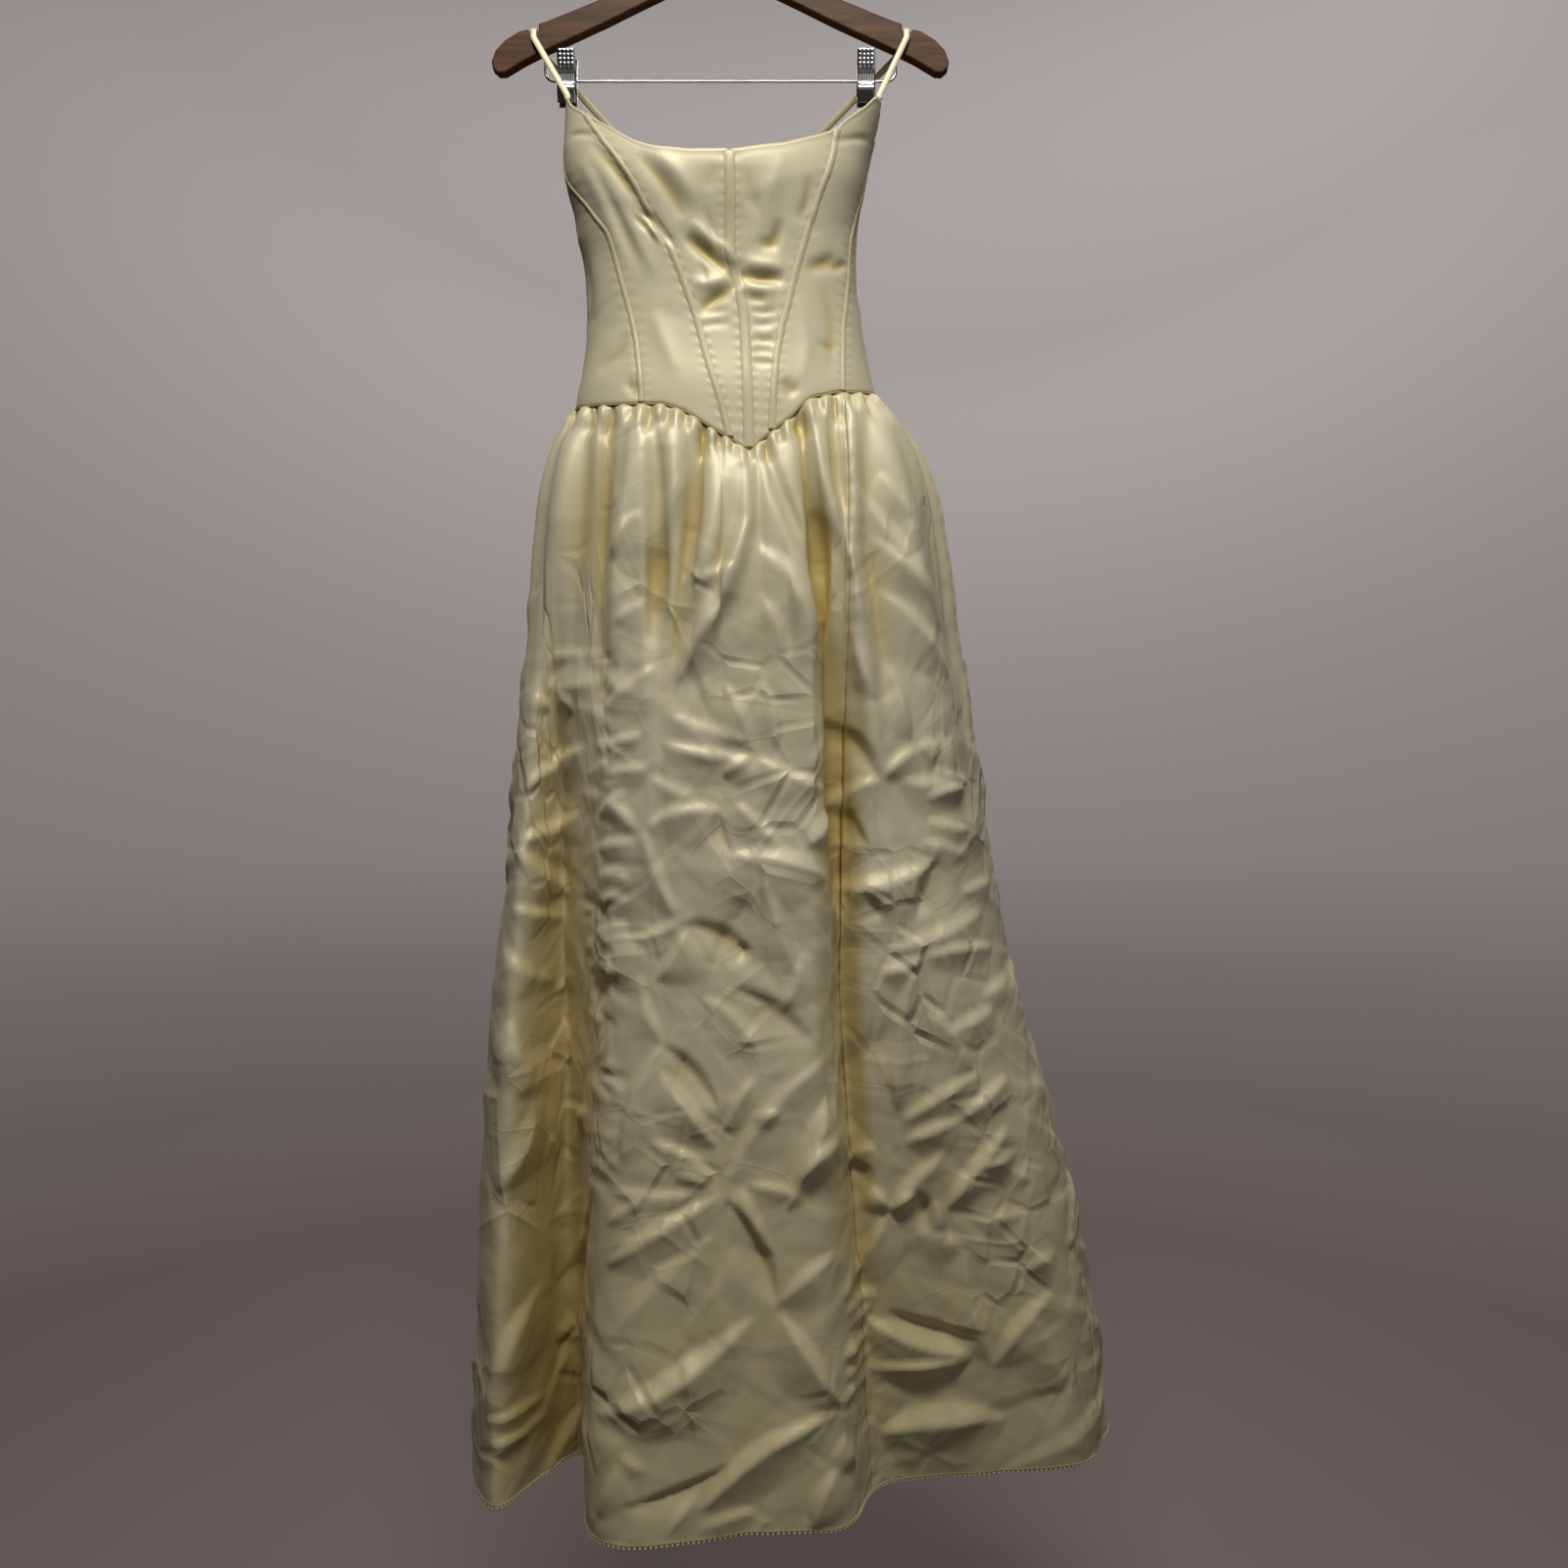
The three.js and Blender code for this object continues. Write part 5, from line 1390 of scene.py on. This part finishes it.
class DRESS_OT_clips(bpy.types.Operator):
    """Make the two sprung clips with their rubber pads"""

    bl_idname = "dress.clips"
    bl_label = "Clips"

    def execute(self, context):
        for name, centre in CLIPS:
            for face, side in (("front", -1), ("back", 1)):
                make_clip_plate(name, centre, face, side)
                low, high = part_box(f"clip_{name}_pad_{face}")
                pad = box_object(f"pad_{name}_{face}", low, high, 0.0005, material_for("rubber"))
                dress_piece(pad, "rubber", f"clip_{name}_pad_{face}")
            dress_node(f"clip_{name}_sleeve", "chrome")
        return {"FINISHED"}


class DRESS_OT_stage(bpy.types.Operator):
    """Make the camera, the lights and the pale surroundings"""

    bl_idname = "dress.stage"
    bl_label = "Stage"

    def execute(self, context):
        scene = context.scene
        camera = bpy.data.objects.new("camera", bpy.data.cameras.new("camera"))
        camera.location = (0.062, -1.25, -0.907)
        camera.rotation_euler = (math.pi / 2, 0, 0)
        camera.data.sensor_width = 36
        camera.data.lens = 29.385
        camera.data.clip_start = 0.05
        scene.collection.objects.link(camera)
        scene.camera = camera
        make_room(scene)
        add_light(scene, "ceiling", (0.0, -1.2, 1.0), (0.06, 0, -0.95), 0.9, 0.3, 33, (1, 0.98, 0.94))
        add_light(scene, "fill", (1.3, -1.6, -0.5), (0.1, 0, -1.0), 1.2, 1.2, 2.6, (0.97, 0.98, 1))
        add_light(scene, "wall_wash", (0.2, 0.75, 1.25), (0.1, 2.2, -0.2), 2.4, 0.5, 22, (1, 0.985, 0.97))
        add_light(scene, "back", (0.3, 1.6, 0.9), (0, 0, -1.0), 1.2, 0.6, 12, (1, 0.98, 0.95))
        world = bpy.data.worlds.new("room")
        world.use_nodes = True
        world.node_tree.nodes["Background"].inputs["Color"].default_value = (0.62, 0.62, 0.64, 1)
        world.node_tree.nodes["Background"].inputs["Strength"].default_value = 0.07
        scene.world = world
        scene.view_settings.view_transform = "Standard"
        return {"FINISHED"}


def make_room(scene):
    """A pale bowl all round: a floor below the hem that sweeps up into a wall."""
    bm = bmesh.new()
    bmesh.ops.create_circle(bm, segments=96, radius=1)
    ring = bm.edges[:]
    profile = [(1.5, -1.95), (1.95, -1.94), (2.15, -1.88), (2.25, -1.7), (2.3, -1.4), (2.35, -0.5), (2.4, 3.0)]
    for vertex in bm.verts:
        vertex.co = (vertex.co.x * 1.2, vertex.co.y * 1.2, -1.95)
    for radius, height in profile:
        made = bmesh.ops.extrude_edge_only(bm, edges=ring)["geom"]
        ring = [g for g in made if isinstance(g, bmesh.types.BMEdge)]
        for vertex in (g for g in made if isinstance(g, bmesh.types.BMVert)):
            flat = math.hypot(vertex.co.x, vertex.co.y)
            vertex.co = (vertex.co.x / flat * radius, vertex.co.y / flat * radius, height)
    lowest = [edge for edge in bm.edges if edge.is_boundary and edge.verts[0].co.z < -1.9]
    bmesh.ops.holes_fill(bm, edges=lowest, sides=0)
    mesh = bpy.data.meshes.new("room")
    bm.to_mesh(mesh)
    bm.free()
    room = finish_object("room", mesh, wall_material())


def wall_material():
    """A pale wall over a dark floor, with painted shade darkening the sweep between them, which returns little light
    to the dress.
    """
    material, nodes, links, shader = shader_material("wall")
    place = nodes.new("ShaderNodeTexCoord")
    parts = nodes.new("ShaderNodeSeparateXYZ")
    links.new(place.outputs["Object"], parts.inputs["Vector"])
    # Painted shade: the colour darkens gradually from the foot of the wall down to the floor, standing in for the
    # light falling off there
    rise = nodes.new("ShaderNodeMapRange")
    rise.inputs["From Min"].default_value = -1.94
    rise.inputs["From Max"].default_value = -1.1
    links.new(parts.outputs["Z"], rise.inputs["Value"])
    tint = nodes.new("ShaderNodeMix")
    tint.data_type = "RGBA"
    tint.inputs["A"].default_value = (0.25, 0.21, 0.20, 1)
    tint.inputs["B"].default_value = (0.56, 0.53, 0.52, 1)
    links.new(rise.outputs["Result"], tint.inputs["Factor"])
    path = nodes.new("ShaderNodeLightPath")
    seen = nodes.new("ShaderNodeMix")
    seen.data_type = "RGBA"
    seen.inputs["A"].default_value = (0.07, 0.068, 0.066, 1)
    links.new(path.outputs["Is Camera Ray"], seen.inputs["Factor"])
    links.new(tint.outputs["Result"], seen.inputs["B"])
    links.new(seen.outputs["Result"], shader.inputs["Base Color"])
    shader.inputs["Roughness"].default_value = 0.95
    return material


def add_light(scene, name, place, target, width, height, power, colour):
    data = bpy.data.lights.new(name, "AREA")
    data.shape = "RECTANGLE"
    data.size, data.size_y = width, height
    data.energy = power
    data.color = colour
    light = bpy.data.objects.new(name, data)
    light.location = place
    light.rotation_euler = (Vector(target) - Vector(place)).to_track_quat("-Z", "Y").to_euler()
    light.visible_camera = False
    scene.collection.objects.link(light)


class DressSizes(bpy.types.PropertyGroup):
    gather_scale: FloatProperty(name="Gathers", description="Depth of the gathers below the waist seam",
                                default=1, min=0, max=1.5)
    crease_scale: FloatProperty(name="Creases", description="Depth of the skirt's creases",
                                default=1, min=0, max=1.5)
    stitch_pitch: FloatProperty(name="Stitch Pitch", description="Distance from one stitch to the next", default=0.003,
                                min=0.0015, max=0.006, unit="LENGTH")


class DressColours(bpy.types.PropertyGroup):
    satin: FloatVectorProperty(name="Satin", description="Colour of the satin", default=(0.85, 0.78, 0.56),
                               subtype="COLOR", min=0, max=1)
    channel: FloatVectorProperty(name="Channels", description="Colour of the boning channels and the zip's tape",
                                 default=(0.83, 0.76, 0.53), subtype="COLOR", min=0, max=1)
    thread: FloatVectorProperty(name="Thread", description="Colour of the stitches", default=(0.80, 0.74, 0.48),
                                subtype="COLOR", min=0, max=1)
    seam: FloatVectorProperty(name="Waist Seam", description="Colour of the waist seam between its stitches",
                              default=(0.55, 0.43, 0.17), subtype="COLOR", min=0, max=1)
    zip_metal: FloatVectorProperty(name="Zip", description="Colour of the zip's slider", default=(0.72, 0.68, 0.55),
                                   subtype="COLOR", min=0, max=1)
    wood: FloatVectorProperty(name="Wood", description="Colour of the hanger's wood", default=(0.11, 0.043, 0.013),
                              subtype="COLOR", min=0, max=1)
    chrome: FloatVectorProperty(name="Chrome", description="Colour of the hook, bar and clips",
                                default=(0.62, 0.62, 0.63), subtype="COLOR", min=0, max=1)
    rubber: FloatVectorProperty(name="Rubber", description="Colour of the clips' pads", default=(0.012, 0.012, 0.013),
                                subtype="COLOR", min=0, max=1)


class DRESS_PT_panel(bpy.types.Panel):
    bl_idname = "DRESS_PT_panel"
    bl_label = "Dress"
    bl_space_type = "VIEW_3D"
    bl_region_type = "UI"
    bl_category = "Dress"

    def draw(self, context):
        layout = self.layout
        for group in (context.scene.dress_sizes, context.scene.dress_colours):
            box = layout.box()
            for key in group.__annotations__:
                box.prop(group, key)
        for operator in OPERATORS:
            layout.operator(operator.bl_idname)


OPERATORS = (
    DRESS_OT_bodice,
    DRESS_OT_channels,
    DRESS_OT_skirt,
    DRESS_OT_straps,
    DRESS_OT_zip,
    DRESS_OT_hanger,
    DRESS_OT_clips,
    DRESS_OT_stage,
)
CLASSES = (DressSizes, DressColours, *OPERATORS, DRESS_PT_panel)


def register():
    for each in CLASSES:
        bpy.utils.register_class(each)
    bpy.types.Scene.dress_sizes = PointerProperty(type=DressSizes)
    bpy.types.Scene.dress_colours = PointerProperty(type=DressColours)


def unregister():
    del bpy.types.Scene.dress_colours
    del bpy.types.Scene.dress_sizes
    for each in reversed(CLASSES):
        bpy.utils.unregister_class(each)


def main():
    register()
    bpy.ops.dress.bodice()
    bpy.ops.dress.zip()
    bpy.ops.dress.channels()
    bpy.ops.dress.skirt()
    bpy.ops.dress.straps()
    bpy.ops.dress.hanger()
    bpy.ops.dress.clips()
    bpy.ops.dress.stage()
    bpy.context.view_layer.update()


if __name__ == "__main__":
    main()
